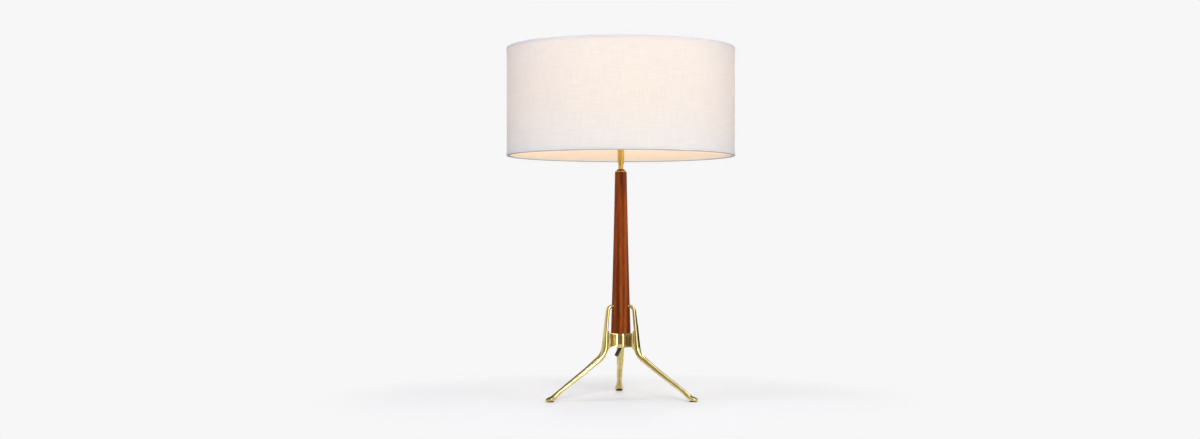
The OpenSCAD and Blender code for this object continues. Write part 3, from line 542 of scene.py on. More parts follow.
def bendPoints(before, corner, after, radius, steps):
    # points of the arc that rounds a corner of the chain
    a, b, c = Vector(before), Vector(corner), Vector(after)
    d1, d2 = (b - a).normalized(), (c - b).normalized()
    turn = d1.angle(d2)
    side = 1.0 if d1.x * d2.y - d1.y * d2.x > 0 else -1.0
    out = Vector((side * d1.y, -side * d1.x)) * radius
    centre = b - d1 * radius * math.tan(turn / 2) - out
    return [centre + Matrix.Rotation(side * turn * i / steps, 2) @ out for i in range(steps + 1)]

def legCentreline():
    chain = leg["chain"]
    rows = [chain[0][:2] + chain[0][3:]]
    for i in range(1, len(chain) - 1):
        for p in bendPoints(chain[i - 1][:2], chain[i][:2], chain[i + 1][:2], chain[i][2], 14):
            rows.append((p.x, p.y, chain[i][3], chain[i][4]))
    rows.append(chain[-1][:2] + chain[-1][3:])
    # even steps along the line, then width and thickness eased so that they swell without a corner
    even, left = [rows[0]], 0.0
    for a, b in zip(rows, rows[1:]):
        length = math.hypot(b[0] - a[0], b[1] - a[1])
        at = leg["step"] - left
        while at <= length:
            even.append(tuple(a[k] + (b[k] - a[k]) * at / length for k in range(4)))
            at += leg["step"]
        left = length - (at - leg["step"])
    count = len(even)
    soft = []
    for i in range(count):
        row = list(even[i])
        for k, reach in ((0, 1), (1, 1), (2, 7), (3, 7)):
            reach = min(reach, i, count - 1 - i)
            row[k] = sum(even[j][k] for j in range(i - reach, i + reach + 1)) / (2 * reach + 1)
        soft.append(row)
    steps = 16
    for i in range(1, steps + 1):
        turn = math.radians(leg["tipTurn"] * i / steps)
        share = math.sin(turn) / math.sin(math.radians(leg["tipTurn"]))
        thick = leg["toeThickness"] + (leg["tipThickness"] - leg["toeThickness"]) * share
        soft.append([leg["toeCentre"] + (leg["tip"] - leg["toeCentre"]) * share,
                     leg["pad"] + thick / 2 - leg["soleSink"], leg["toeWidth"] * math.cos(turn), thick])
    return soft

def plateMesh(outline, width, edge):
    # an outline in the XZ plane with a thickness along Y and its edges broken
    work = bmesh.new()
    verts = [work.verts.new((x * mm, -width / 2 * mm, z * mm)) for x, z in outline]
    face = work.faces.new(verts)
    lifted = bmesh.ops.extrude_face_region(work, geom=[face])
    moved = [g for g in lifted["geom"] if isinstance(g, bmesh.types.BMVert)]
    bmesh.ops.translate(work, verts=moved, vec=(0, width * mm, 0))
    bmesh.ops.recalc_face_normals(work, faces=work.faces)
    bmesh.ops.bevel(work, geom=work.edges[:], offset=edge * mm, segments=3, profile=0.5, affect="EDGES")
    mesh = bpy.data.meshes.new("plate")
    work.to_mesh(mesh)
    work.free()
    return mesh

def rodMesh(start, end, level, radius, turn=0):
    # a plain round pin along X at a level, turned about Z
    work = bmesh.new()
    place = Matrix.Rotation(math.radians(turn), 4, "Z") @ Matrix.Translation(
        ((start + end) / 2 * mm, 0, level * mm)) @ Matrix.Rotation(math.pi / 2, 4, "Y")
    bmesh.ops.create_cone(work, cap_ends=True, segments=32, radius1=radius * mm, radius2=radius * mm,
                          depth=(end - start) * mm, matrix=place)
    mesh = bpy.data.meshes.new("rod")
    work.to_mesh(mesh)
    work.free()
    return mesh

legTurns = (90, 210, 330)
line = legCentreline()
for name, node, turn in zip(("legBack", "legFrontLeft", "legFrontRight"),
                            ("leg_back", "leg_front_left", "leg_front_right"), legTurns):
    path = pathMesh(name, [(r * mm, 0, z * mm) for r, z, w, t in line],
                    across=[w * mm for r, z, w, t in line], through=[t * mm for r, z, w, t in line])
    bar = grown(name, path, sweptBar, {
        "Sides": leg["sides"], "Squareness": leg["squareness"], "Floor": leg["pad"] * mm,
        "Turn": math.radians(turn), "Material": brassCast})
    flange = plateMesh(leg["flange"], leg["flangeWidth"], leg["flangeEdge"])
    flange.transform(Matrix.Rotation(math.radians(turn), 4, "Z"))
    bar.data = joined(name, [bar.data, flange, rodMesh(*leg["tenon"], turn), rodMesh(*leg["spigot"], turn)])
    dress(bar, brassCast, "base", [node], sharp=34)
print("legs ready:", len(line), "stations each")

pads = {"across": 13.6, "height": 1.2, "edge": 0.35, "centre": 152.2}
padMeshes = []
for turn in legTurns:
    pad = turnedMesh("pad", rounded([
        [0, 0, 0], [pads["across"] / 2, 0, pads["edge"]], [pads["across"] / 2, pads["height"], pads["edge"]],
        [0, pads["height"], 0]], closed=False), 48, closed=False)
    pad.transform(Matrix.Rotation(math.radians(turn), 4, "Z") @ Matrix.Translation((pads["centre"] * mm, 0, 0)))
    padMeshes.append(pad)
dress(newPiece("footPads", joined("footPads", padMeshes)), rubber, "base", ["foot_pads"])

hub = {"edge": 0.45, "armWidth": 9.5, "sunk": 0.8, "bossRadius": 11.5}
casting = dress(softCopy("hubCasting", "hub", hub["edge"]), brassCast, "base", ["hub"], sharp=50)
# the sunk panels of its arms take the dull, dark, mottled brass
casting.data.materials.append(brassDarkPanels)
panelAt = (hub["armWidth"] / 2 - hub["sunk"]) * mm
for face in casting.data.polygons:
    for turn in legTurns:
        side = Vector((-math.sin(math.radians(turn)), math.cos(math.radians(turn)), 0))
        out = Vector((side.y, -side.x, 0))
        flat = abs(face.normal.dot(side)) > 0.99 and abs(abs(face.center.dot(side)) - panelAt) < 0.1 * mm
        if flat and face.center.dot(out) > hub["bossRadius"] * mm * 0.9:
            face.material_index = 1

column = {"foot": 123.0, "height": 304.5, "footAcross": 37.4, "topAcross": 22.2, "draw": 0.26, "edge": 0.7,
          "bore": 5.1, "recess": 6.6, "recessDeep": 24.0}

def columnRadius(z):
    share = (column["foot"] + column["height"] - z) / column["height"]
    taper = (1 - column["draw"]) * share + column["draw"] * share * share
    return (column["topAcross"] + (column["footAcross"] - column["topAcross"]) * taper) / 2

columnTop = column["foot"] + column["height"]
levels = [column["foot"] + 2 + (column["height"] - 4) * i / 40 for i in range(41)]
wood = ([[column["bore"], column["foot"], 0.2], [columnRadius(column["foot"]), column["foot"], column["edge"]]]
        + [[columnRadius(z), z, 0] for z in levels]
        + [[columnRadius(columnTop), columnTop, column["edge"]], [column["recess"], columnTop, 0.3],
           [column["recess"], columnTop - column["recessDeep"], 0],
           [column["bore"], columnTop - column["recessDeep"], 0]])
turnedPiece("turnedColumn", wood, walnut, "base", "column", 128)

outlet = {"foot": 97.0, "lean": 28, "turn": 165, "length": 20.0, "radius": 3.5, "bore": 2.6, "lip": 0.6,
          "groove": (3.2, 2.8, 2.2, 1.8), "grooveDeep": 0.25, "collar": 5.0, "plug": 3.45, "plugHigh": 4.0}
bore, radius, length = outlet["bore"], outlet["radius"], outlet["length"]
g1, g2, g3, g4 = outlet["groove"]
sleeve = turnedMesh("outletSleeve", rounded([
    [bore, -2.0, 0], [radius, -2.0, 0], [radius, length - g1, 0.3],
    [radius - outlet["grooveDeep"], length - g2, 0.2], [radius - outlet["grooveDeep"], length - g3, 0.2],
    [radius, length - g4, 0.3], [radius, length, outlet["lip"]], [bore, length, 0.5]]), 48)
sleeve.transform(Matrix.Translation((0, 0, outlet["foot"] * mm))
                 @ Matrix.Rotation(math.radians(outlet["turn"]), 4, "Z")
                 @ Matrix.Rotation(math.radians(180 - outlet["lean"]), 4, "Y"))
low = outlet["foot"]
collar = turnedMesh("outletCollar", rounded([
    [bore, low - 2.5, 0.2], [outlet["collar"], low - 2.5, 0.7], [outlet["collar"], low, 0.2],
    [outlet["plug"], low, 0], [outlet["plug"], low + outlet["plugHigh"], 0.4],
    [bore, low + outlet["plugHigh"], 0.2]]), 64)
dress(newPiece("outletSleeve", joined("outletSleeve", [sleeve, collar])), sleeveVinyl, "base",
      ["cord_outlet"])
print("hub, column and outlet ready")

neck = {"pipe": 5.05, "bore": 3.2, "ringRadius": 10.6, "ring": (427.5, 429.5), "footRadius": 7.75,
        "waist": 4.7, "tube": 6.2, "levels": (431.5, 433.0, 440.0, 447.5, 452.0, 472.0), "tail": 414.5,
        "spigot": 5.0, "socketDeep": 5.0}
z1, z2, z3, z4, z5, z6 = neck["levels"]
ringLow, ringHigh = neck["ring"]
bore, pipe, tube, foot, tail = neck["bore"], neck["pipe"], neck["tube"], neck["footRadius"], neck["tail"]
turnedPiece("seatRing", [
    [pipe, ringLow, 0.1], [neck["ringRadius"], ringLow, 0.25], [neck["ringRadius"], ringHigh, 0.7],
    [pipe, ringHigh, 0.1]], brassTurned, "base", "seat_ring")
neckRows = ([[bore, tail, 0], [neck["spigot"], tail, 0.4], [neck["spigot"], ringHigh, 0], [foot, ringHigh, 0.3],
             [foot, z1, 0.5]]
            + eased(foot - 0.6, z1 + 0.02, neck["waist"], z2, 8) + eased(neck["waist"], z3, tube, z4, 14)
            + [[tube, z5, 0.35], [pipe, z5, 0.1], [pipe, z5 - neck["socketDeep"], 0],
               [bore, z5 - neck["socketDeep"], 0]])
waistedNeck = turnedPiece("waistedNeck", neckRows, brassTurned, "base", "neck", sharp=30)
# its flared foot is dark brown
waistedNeck.data.materials.append(brassDarkFoot)
for face in waistedNeck.data.polygons:
    out = Vector(face.center[:2]).length
    face.material_index = int(face.center.z > ringHigh * mm and out > (neck["waist"] + 0.4) * mm
                              and face.center.z < (z2 + 0.5) * mm)
turnedPiece("neckTube", [[pipe, z5, 0.1], [tube, z5, 0.35], [tube, z6, 0.35], [pipe, z6, 0.1]],
            brassTurned, "base", "neck_tube")
print("neck ready")

harp = {"legX": 24.0, "foot": 482.8, "straight": 25.0, "bend": 30.0, "top": 630.1, "plateRadius": 8.0,
        "wire": 3.4, "plateThickness": 2.2, "flatWidth": 8.5, "flatFrom": 15.0, "flatRun": 9.0,
        "studRadius": 3.15, "plate": (629.0, 631.2)}
across = harp["legX"] - harp["plateRadius"] * 0.6 + harp["bend"]
up = harp["top"] - harp["foot"] - harp["straight"] + harp["bend"]
reach = (across * across + up * up) / (2 * up)
bowRadius, bowOut = reach - harp["bend"], math.asin((up - reach) / reach)
bowZ = harp["foot"] + harp["straight"]
centre1 = Vector((harp["legX"] + harp["bend"], bowZ))
centre2 = Vector((harp["plateRadius"] * 0.6, harp["top"] - bowRadius))
half = [Vector((harp["legX"], harp["foot"] + harp["straight"] * i / 8)) for i in range(8)]
half += [centre1 + Matrix.Rotation(-bowOut * i / 12, 2) @ Vector((-harp["bend"], 0)) for i in range(13)]
half += [centre2 + Matrix.Rotation(-bowOut + (math.pi / 2 + bowOut) * i / 60, 2) @ Vector((bowRadius, 0))
         for i in range(1, 61)]
half += [Vector((harp["plateRadius"] * 0.6 * (1 - i / 4), harp["top"])) for i in range(1, 4)]
bow = half + [Vector((0, harp["top"]))] + [Vector((-p.x, p.y)) for p in reversed(half)]

def flatShare(x):
    # 0 where the wire is round, 1 where it is hammered flat under the stud
    share = min(1.0, max(0.0, (harp["flatFrom"] - abs(x)) / harp["flatRun"]))
    return share * share * (3 - 2 * share)

def wireSize(flat):
    # the wire's size at each point of the bow, where flat is its size once hammered
    return [(harp["wire"] + (flat - harp["wire"]) * flatShare(p.x)) * mm for p in bow]

bowPath = pathMesh("harpWire", [(p.x * mm, 0, p.y * mm) for p in bow],
                   across=wireSize(harp["flatWidth"]), through=wireSize(harp["plateThickness"]))
wire = grown("harpWire", bowPath, sweptBar, {
    "Sides": 24, "Squareness": 2.1, "Floor": 0.0, "Turn": 0.0, "Material": brassTurned})
low, high = harp["plate"]
plate = turnedMesh("harpPlate", rounded([
    [harp["studRadius"], low, 0.1], [harp["plateRadius"], low, 0.5], [harp["plateRadius"], high, 0.5],
    [harp["studRadius"], high, 0.1]]), 64)
wire.data = joined("harpWire", [wire.data, plate])
dress(wire, brassTurned, "base", ["harp"])
dress(softCopy("harpSaddle", "harp_saddle", 0.3), brassTurned, "base", ["harp_saddle"], sharp=45)

stud = {
    "seat": [(0, 627.5, 0), (4.6, 627.5, 0.4), (4.6, 629.0, 0), (3.1, 629.0, 0), (3.1, 631.2, 0),
             (9.5, 631.2, 0.4), (9.5, 632.7, 0.4), (3.1, 632.7, 0)],
    "end": [(3.1, 646.0, 0.3), (2.7, 646.5, 0), (0, 646.5, 0)], "radius": 3.1, "foot": 633.2, "station": 0.12,
    "stations": 104,
    # a machine thread of 32 turns to the inch: pitch, depth, from, to, run-out, least radius
    "thread": (0.79, 0.35, 634.2, 646.2, 0.6, 2.9),
}
studRows = stud["seat"] + [(stud["radius"], stud["foot"] + stud["station"] * i, 0)
                           for i in range(stud["stations"])] + stud["end"]
studMesh = turnedMesh("harpStud", rounded(studRows, closed=False), 64, closed=False)
dress(threaded("harpStud", studMesh, stud["thread"], brassTurned), brassTurned, "base",
      ["harp_stud"])

# bore 1.8 over the wire, a groove near the foot
ferruleRows = [(1.8, 473.8, 0.2), (3.1, 473.8, 0.4), (3.1, 475.4, 0.2), (2.85, 475.7, 0.15),
               (2.85, 476.3, 0.15), (3.1, 476.6, 0.2), (3.1, 484.0, 0.5), (2.6, 485.8, 0.4), (1.8, 485.8, 0.2)]
for side, name, body, node in ((-1, "ferruleLeft", "left_ferrule", "ferrule_left"),
                               (1, "ferruleRight", "right_ferrule", "ferrule_right")):
    ferrule = turnedMesh(name, rounded(ferruleRows), 48)
    ferrule.transform(Matrix.Translation((side * harp["legX"] * mm, 0, 0)))
    dress(newPiece(name, ferrule), brassTurned, body, [node])
print("harp ready")

holder = {
    "foot": 473.8, "bell": 480.0, "step": 488.8, "cap": 18.55, "pipe": 5.05, "collar": 7.2, "stem": 499.8,
    # the cap's rim with its bead, and the shell with its bead and rolled mouth
    "rim": [(18.55, 489.2, 0.5), (18.55, 493.4, 0.4), (18.2, 493.8, 0.2), (18.2, 494.3, 0.2),
            (18.55, 494.7, 0.3), (18.55, 495.8, 0.3), (17.75, 495.8, 0.1), (17.75, 488.8, 0), (14.4, 488.8, 0)],
    "shell": [(16.9, 488.8, 0), (17.7, 488.8, 0), (17.7, 503.6, 0.6), (17.45, 504.4, 0.5), (17.7, 505.2, 0.6),
              (17.7, 525.4, 0.5), (17.25, 526.0, 0.4), (17.7, 526.6, 0.5), (17.7, 531.8, 1.2),
              (14.8, 531.8, 0.3), (14.8, 531.0, 0.2), (16.9, 531.0, 0)],
    "screw": (13.2, 13.9, 506.8), "screwTop": 530.8, "station": 0.24, "stations": 101,
    "thread": (3.63, -0.45, 507.5, 530.5, 1.6, 1.0),
}
capRows = ([(holder["pipe"], holder["foot"], 0.1), (holder["collar"], holder["foot"], 0.5),
            (holder["collar"], holder["bell"] - 1.2, 0.6)]
           + eased(holder["collar"] + 0.9, holder["bell"], holder["cap"] - 0.3, holder["step"] - 0.6, 12)
           + holder["rim"] + eased(14.4, 487.6, holder["collar"], holder["bell"] + 1.6, 8)
           + [(holder["pipe"], holder["bell"] + 1.6, 0)])
turnedPiece("holderCap", capRows, brassTurned, "base", "socket_cap", sharp=32)
turnedPiece("holderShell", holder["shell"], brassTurned, "base", "socket_shell", sharp=32)
inside, outside, low = holder["screw"]
screwRows = ([(inside, low, 0)] + [(outside, low + holder["station"] * i, 0) for i in range(holder["stations"])]
             + [(inside, holder["screwTop"] - holder["station"] * i, 0) for i in range(holder["stations"] - 1)])
dress(threaded("screwShell", turnedMesh("screwShell", rounded(screwRows), 72), holder["thread"], nickelBrass),
      nickelBrass, "base", ["screw_shell"], sharp=60)

knob = {
    "foot": 20.05, "radius": 6.5, "neck": 5.0, "flutes": 12, "fluteDepth": 0.5,
    "flutesFrom": (2.4, 0.8), "flutesTo": (11.4, 1.0), "gripFoot": 2.4, "station": 0.45, "stations": 20,
    "base": [(0, 5.5, 0), (2.05, 5.5, 0), (2.05, 0, 0.1), (5.0, 0, 0.4), (5.0, 2.0, 0.3), (6.5, 2.3, 0.3)],
    "face": [(6.5, 11.3, 0.4), (5.4, 12.0, 0.4), (3.4, 12.0, 0.4), (2.4, 11.6, 0.6), (0, 11.6, 0)],
}

def fluted(r, z, angle):
    # rounded flutes down the knob's grip that run out before its face
    if r < knob["neck"] + 0.6:
        return r, z
    (low, lowRun), (high, highRun) = knob["flutesFrom"], knob["flutesTo"]
    grip = min(1.0, max(0.0, (z / mm - low) / lowRun)) * min(1.0, max(0.0, (high - z / mm) / highRun))
    hollow = max(0.0, math.cos(knob["flutes"] * angle)) ** 1.5
    return r - knob["fluteDepth"] * 2 * mm * grip * hollow, z

knobRows = knob["base"] + [(knob["radius"], knob["gripFoot"] + knob["station"] * i, 0)
                           for i in range(knob["stations"])] + knob["face"]
knobMesh = turnedMesh("switchKnob", rounded(knobRows, closed=False), 144, closed=False, shape=fluted)
knobMesh.transform(Matrix.Translation((0, -knob["foot"] * mm, holder["stem"] * mm))
                   @ Matrix.Rotation(math.pi / 2, 4, "X"))
dress(newPiece("switchKnob", knobMesh), blackPhenolic, "switch", ["switch_knob"], sharp=32)
print("lamp holder ready")

bulb = {
    "globe": 30.0, "capRadius": 13.1, "glassFoot": 534.6, "top": 614.6, "wall": 1.0,
    "capFoot": [(0, 511.6, 0), (12.1, 511.6, 0.4), (13.1, 514.1, 0.8)],
    "capTop": [(13.1, 534.6, 0.5), (12.6, 535.4, 0.3), (12.0, 535.4, 0.2), (0, 534.4, 0)],
    "threadFoot": 514.4, "station": 0.24, "stations": 80, "thread": (3.63, 0.6, 514.0, 533.0, 1.6, 12.3),
}

def globeRows(shrink):
    radius, centre, low = bulb["globe"] - shrink, bulb["top"] - bulb["globe"], math.radians(25)
    rows = eased(bulb["capRadius"] - 0.5 - shrink, bulb["glassFoot"], radius * math.cos(low),
                 centre - radius * math.sin(low), 24)
    turns = [-low + (math.pi / 2 + low) * i / 40 for i in range(1, 41)]
    rows += [[max(radius * math.cos(a), 0.0), centre + radius * math.sin(a), 0] for a in turns]
    rows[-1][0] = 0.0
    return rows

glassRows = globeRows(0) + list(reversed(globeRows(bulb["wall"])))
glassOutline = rounded(glassRows[:-1] + [[bulb["capRadius"] - 1.5, bulb["glassFoot"], 0]])
glassMesh = turnedMesh("bulbGlass", glassOutline, 96)
glass = dress(newPiece("bulbGlass", glassMesh), bulbGlass, "bulb", ["bulb_glass"])
glass.visible_shadow = False       # so that the lamp's own light, which sits inside it, reaches the shade
capRows = bulb["capFoot"] + [(bulb["capRadius"], bulb["threadFoot"] + bulb["station"] * i, 0)
                             for i in range(bulb["stations"])] + bulb["capTop"]
capMesh = turnedMesh("bulbCap", rounded(capRows, closed=False), 96, closed=False)
dress(threaded("bulbCap", capMesh, bulb["thread"], aluminium), aluminium, "bulb",
      ["bulb_cap"], sharp=50)
print("bulb ready")

shade = {"radius": 215.9, "top": 660.4, "foot": 457.2, "cloth": 215.35, "clothThick": 0.6, "liner": 214.6,
         "linerThick": 0.8, "ring": 212.05, "wire": 1.6, "hemHigh": 5.0, "hemThick": 0.4, "hemInner": 209.9,
         "rim": 0.55, "paintedShadeFold": 1.1, "sides": 360, "seamAt": 96, "seamWide": 3.2, "seamLift": 0.35,
         "armWire": 1.5, "spiderLevel": 633.6, "washer": 15.0, "washerLow": 632.7, "washerHigh": 634.5,
         "studHole": 3.2}

def clothShape(r, z, angle):
    # the cloth's overlap is a low step near the back that fades one way round; a hand-laid sheet wavers a little
    ahead = (math.degrees(angle) - shade["seamAt"] + 180) % 360 - 180
    lift = 0.0
    if -shade["seamWide"] < ahead <= 0.25:
        lift = shade["seamLift"] * min(1.0, (ahead + shade["seamWide"]) / 1.2) * min(1.0, (0.25 - ahead) / 0.25)
    waver = 0.05 * math.sin(9 * angle + 24 * z) + 0.04 * math.sin(23 * angle - 41 * z)
    return r + (lift + min(0.0, waver)) * mm, z

def drumWall(name, outer, thick, levels, shape=None):
    low, high = shade["foot"] + shade["rim"], shade["top"] - shade["rim"]
    rows = [[outer, low + (high - low) * i / levels, 0] for i in range(levels + 1)]
    rows += [[outer - thick, high, 0], [outer - thick, low, 0]]
    return turnedMesh(name, rounded(rows), shade["sides"], shape=shape)

cloth = newPiece("shadeCloth", drumWall("shadeCloth", shade["cloth"], shade["clothThick"], 24, clothShape))
dress(cloth, linen, "shade", ["shade_fabric"])
liner = newPiece("shadeLiner", drumWall("shadeLiner", shade["liner"], shade["linerThick"], 12))
dress(liner, linerFilm, "shade", ["shade_liner"])

def hemShape(edge, away):
    # the tape lies a little unevenly, most at its free edge
    def shape(r, z, angle):
        free = min(1.0, abs(z / mm - edge) / shade["hemHigh"])
        waver = 0.5 * math.sin(31 * angle + 1.3 * away) + 0.5 * math.sin(53 * angle + 2.1)
        return r - 0.06 * mm * (1 + waver) * free, z + away * 0.12 * mm * free * math.sin(17 * angle)
    return shape

for name, node, edge, away in (("topHem", "top_hem", shade["top"], -1),
                               ("bottomHem", "bottom_hem", shade["foot"], 1)):
    outer, inner, thick, high = shade["radius"], shade["hemInner"], shade["hemThick"], shade["hemHigh"]
    rows = [[outer, 0, 2.9], [outer, high * 0.6, 0], [outer, high, 0.15], [outer - thick, high, 0.1],
            [outer - thick, thick, 2.4], [inner + thick, thick, 2.4], [inner + thick, high, 0.1],
            [inner, high, 0.15], [inner, high * 0.6, 0], [inner, 0, 2.9]]
    hemRows = [[r, edge + away * z, radius] for r, z, radius in rows]
    strip = turnedMesh(name, rounded(hemRows, steps=7), shade["sides"], shape=hemShape(edge, away))
    hem = dress(newPiece(name, strip), hemTape, "shade", [node])
    hem.data.materials.append(paintedShadeFold if away > 0 else paintedShadeCrown)     # painted shade: grey under the bottom fold, a lighter grey on the top fold
    # the band within the fold's width of the edge takes the painted-shade tape
    for face in hem.data.polygons:
        face.material_index = int(abs(face.center.z - edge * mm) < shade["paintedShadeFold"] * mm)

def ringPath(name, level):
    count = shade["sides"]
    radius = shade["ring"] * mm
    return pathMesh(name, [(radius * math.cos(tau * i / count), radius * math.sin(tau * i / count), level * mm)
                           for i in range(count)], closed=True)

ringInset = shade["hemThick"] + 0.15 + shade["wire"]
wireSizes = {"Radius": shade["wire"] * mm, "Sides": 20, "Copies": 1, "Material": enamel}
dress(grown("bottomRing", ringPath("bottomRing", shade["foot"] + ringInset), bentWire, wireSizes), enamel,
      "shade", ["bottom_ring"])
topRing = grown("topRing", ringPath("topRing", shade["top"] - ringInset), bentWire, wireSizes)
armTop = shade["top"] - ringInset
armRows = [(11.0, shade["spiderLevel"])] + [tuple(p) for p in bendPoints(
    (11.0, shade["spiderLevel"]), (shade["ring"], shade["spiderLevel"]), (shade["ring"], armTop), 6, 12)]
armRows.append((shade["ring"], armTop))
armPath = pathMesh("arm", [(0, r * mm, z * mm) for r, z in armRows])
arms = grown("spiderArms", armPath, bentWire, {
    "Radius": shade["armWire"] * mm, "Sides": 20, "Copies": 3, "Material": enamel})
washer = turnedMesh("washer", rounded([
    [shade["studHole"], shade["washerLow"], 0.1], [shade["washer"], shade["washerLow"], 0.4],
    [shade["washer"], shade["washerHigh"], 0.4], [shade["studHole"], shade["washerHigh"], 0.1]]))
arms.data = joined("spiderFrame", [arms.data, topRing.data, washer])
arms.name = "spiderFrame"
bpy.data.objects.remove(topRing)
dress(arms, enamel, "shade", ["spider_frame"])

finial = {"foot": 634.5, "height": 19.0, "ball": 6.5, "base": 5.2, "bore": 3.2, "boreDeep": 13.0, "waist": 4.2}
bore, base, foot, ball = finial["bore"], finial["base"], finial["foot"], finial["ball"]
ballCentre = foot + finial["height"] - ball
turns = [math.radians(-50 + 140 * i / 32) for i in range(32)]
finialRows = ([[0, foot + finial["boreDeep"], 0], [bore, foot + finial["boreDeep"], 0.3], [bore, foot, 0.2],
               [base, foot, 0.5], [base, foot + 2.5, 0.5]]
              + eased(base - 0.5, foot + 2.6, finial["waist"], foot + 5.0, 8)
              + [[ball * math.cos(a), ballCentre + ball * math.sin(a), 0] for a in turns]
              + [[0, ballCentre + ball, 0]])
turnedPiece("finial", finialRows, brassTurned, "finial", "finial", 64, closed=False, sharp=30)
print("shade and finial ready")

keptFinish = {
    "leg_setscrews": zincSteel, "lamp_pipe": zincSteel, "pipe_nut": brassTurned, "lock_washer": zincSteel,
    "pipe_coupling": zincSteel, "upper_nipple": zincSteel, "socket_liner": fibreBoard,
    "socket_body": brownPhenolic, "centre_contact": brassTurned, "terminal_screws": brassTurned,
    "switch_stem": brassTurned, "bulb_insulator": blackPhenolic, "bulb_contact": aluminium,
}
for node, material in keptFinish.items():
    nodes[node].data.materials.clear()
    nodes[node].data.materials.append(material)
print("kept CAD pieces:", len(keptFinish))

studio = {
    "white": "f7f7f7", "floorAlbedo": "f9f8f5", "fadeFrom": 0.30, "fadeTo": 0.62,
    "sweepFrom": 0.34, "sweepTo": 0.7,
    "ambient": 0.068, "bulbPower": 1.2, "bulbRadius": 0.028, "bulbHeight": 0.585,
    # soft boxes, none of them mirrored: place, point aimed at, size, power, colour
    "boxes": {
        "keyBox": ((0.45, -2.9, 1.45), (0, 0, 0.36), (1.5, 0.4), 67, "day"),
        "topBox": ((0, 0.2, 2.7), (0, 0, 0), (2.4, 2.4), 17, "above"),
        "leftFill": ((-2.4, -0.7, 1.0), (0, 0, 0.4), (1.2, 1.6), 26, "cool"),
        "backFill": ((0.3, 2.8, 0.8), (0, 0, 0.4), (1.6, 1.2), 58, "day"),
        "rightFill": ((2.4, -0.7, 1.0), (0, 0, 0.4), (1.2, 1.6), 18, "cool"),
    },
    "day": (0.97, 1.0, 1.05), "above": (1.0, 0.95, 0.88), "cool": (0.93, 1.0, 1.26),
    "warm": (0.965, 0.87, 0.685),
    # what polished metal mirrors, as (from, to, brightness) bands; the degrees run from behind the lamp over its
    # left side
    "walls": [(0, 44, 0.95), (54, 72, 0.88), (80, 90, 0.35), (94, 101, 2.2), (106, 140, 0.32),
              (146, 194, 0.22), (200, 216, 0.38), (221, 232, 4.5), (238, 248, 0.3), (256, 270, 0.95),
              (290, 332, 0.04), (342, 360, 0.95)],
    "softBoxes": [(0, 22, 0.1), (30, 48, 0.36), (56, 66, 1.15), (76, 140, 0.55), (150, 203, 0.37),
                  (207, 225, 6.0), (232, 270, 0.85), (280, 296, 1.55), (302, 314, 0.2), (320, 330, 2.3),
                  (335, 360, 0.1)],
    "roomScale": 6.0, "overhead": 0.7,
}

def roomLevel(add, direction):
    # brightness that polished metal sees in a direction: the walls, the soft boxes over them, the ceiling
    heading = add("SeparateXYZ", direction).node.outputs
    left = add("Math MULTIPLY", heading[0], -1.0)
    around = add("Math ARCTAN2", left, heading[1])
    around = add("Math MULTIPLY", around, 1 / tau)
    around = add("Math FRACT", around)
    levels = []
    for ring in ("walls", "softBoxes"):
        edges = [(degrees, value) for start, end, value in studio[ring] for degrees in (start, end)]
        ramp = add("ValToRGB", around)
        stops = ramp.node.color_ramp.elements
        while len(stops) < len(edges):
            stops.new(1.0)
        for stop, (degrees, value) in zip(stops, edges):
            stop.position = degrees / 360
            stop.color = (value / studio["roomScale"],) * 3 + (1.0,)
        levels.append(add("Math MULTIPLY", ramp, studio["roomScale"]))
    rise = add("MapRange", heading[2], 0.08, 0.26)
    walls = add("Mix", {0: rise, 2: levels[0], 3: levels[1]})
    rise = add("MapRange", heading[2], 0.78, 0.95)
    return add("Mix", {0: rise, 2: walls, 3: studio["overhead"]})

def studioFloor():
    # pale paper sweep: shaded by the object close by, and the plain background colour further off
    material, add = newMaterial("paleFloor")
    place = add("TexCoord", out="Object")
    far = add("VectorMath LENGTH", place, out="Value")
    fade = add("MapRange", far, studio["fadeFrom"], studio["fadeTo"], interpolation_type="SMOOTHSTEP")
    ray = add("LightPath").node.outputs
    seen = add("Math MAXIMUM", ray["Is Camera Ray"], ray["Is Glossy Ray"])
    share = add("Math MULTIPLY", seen, fade)
    # polished metal sees the sweep end at arm's length, and the room beyond it
    heading = add("VectorMath NORMALIZE", place)
    room = roomLevel(add, heading)
    near = add("MapRange", far, studio["sweepFrom"], studio["sweepTo"], 0.9, 0.0,
               interpolation_type="SMOOTHSTEP")
    room = add("Math MAXIMUM", room, near)
    level = add("Mix", {0: ray["Is Glossy Ray"], 2: 1.0, 3: room})
    paper = add("BsdfDiffuse", {"Color": hexColour(studio["floorAlbedo"])})
    plain = add("Emission", {"Color": hexColour(studio["white"]), "Strength": level})
    add("OutputMaterial", add("MixShader", share, paper, plain))
    return material

floorMesh = newMesh("floor", [(-40, -40, 0), (40, -40, 0), (40, 40, 0), (-40, 40, 0)], [(0, 1, 2, 3)])
floor = newPiece("floor", floorMesh)
floorMesh.materials.append(studioFloor())

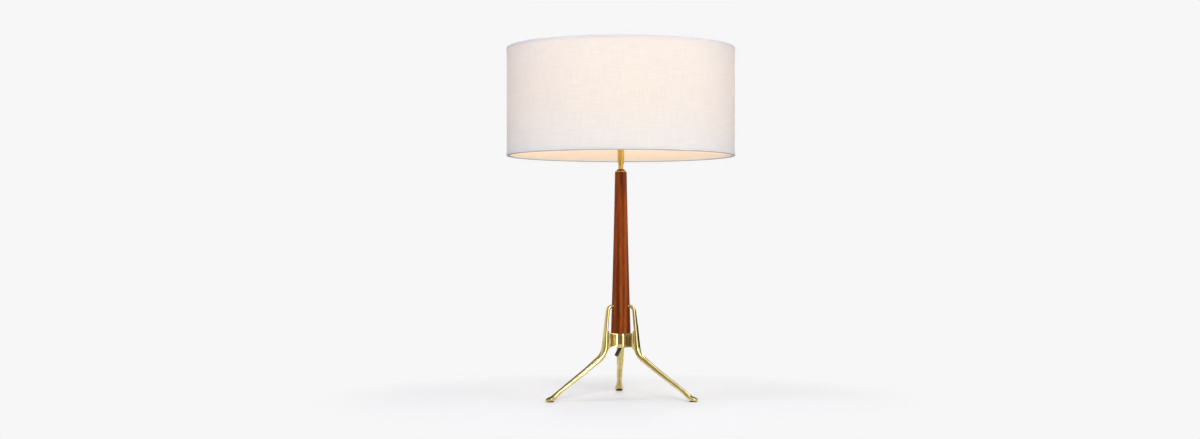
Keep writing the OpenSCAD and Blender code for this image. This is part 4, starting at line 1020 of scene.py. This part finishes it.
world = bpy.data.worlds.new("softStudio")
scene.world = world
world.use_nodes = True
air = world.node_tree
air.nodes.clear()
add = adder(air)
ray = add("LightPath").node.outputs
direction = add("TexCoord", out="Generated")
level = add("Mix", {0: ray["Is Glossy Ray"], 2: studio["ambient"], 3: roomLevel(add, direction)})
level = add("Mix", {0: ray["Is Camera Ray"], 2: level, 3: 1.0})
sky = add("Background", {"Color": hexColour(studio["white"]), "Strength": level})
add("OutputWorld", sky)

def newLight(name, light, place, power, colour):
    light.energy, light.color = power, studio[colour]
    lit = bpy.data.objects.new(name, light)
    lit.location = place
    lit.visible_glossy = lit.visible_camera = False
    scene.collection.objects.link(lit)
    return lit

for name, (place, aim, size, power, colour) in studio["boxes"].items():
    light = bpy.data.lights.new(name, "AREA")
    light.shape, light.size, light.size_y = "RECTANGLE", size[0], size[1]
    lit = newLight(name, light, place, power, colour)
    lit.rotation_euler = (Vector(aim) - Vector(place)).to_track_quat("-Z", "Y").to_euler()
bulbLight = bpy.data.lights.new("bulbLight", "POINT")
bulbLight.shadow_soft_size = studio["bulbRadius"]
newLight("bulbLight", bulbLight, (0, 0, studio["bulbHeight"]), studio["bulbPower"], "warm")

view = {"away": 3.0, "height": 0.292, "turn": 1.3, "pixels": (1200, 439), "focal": 1585.5, "axisX": 620.8,
        "horizonY": 243.6, "sensor": 36.0}
camera = bpy.data.cameras.new("camera")
camera.sensor_fit, camera.sensor_width = "HORIZONTAL", view["sensor"]
camera.lens = view["focal"] / view["pixels"][0] * view["sensor"]
camera.shift_x = (view["pixels"][0] / 2 - view["axisX"]) / view["pixels"][0]
camera.shift_y = (view["horizonY"] - view["pixels"][1] / 2) / view["pixels"][0]
cameraHolder = bpy.data.objects.new("camera", camera)
aside = math.radians(view["turn"])
cameraHolder.location = (-view["away"] * math.sin(aside), -view["away"] * math.cos(aside), view["height"])
cameraHolder.rotation_euler = (math.pi / 2, 0, -aside)
scene.collection.objects.link(cameraHolder)
scene.camera = cameraHolder
print("studio ready")
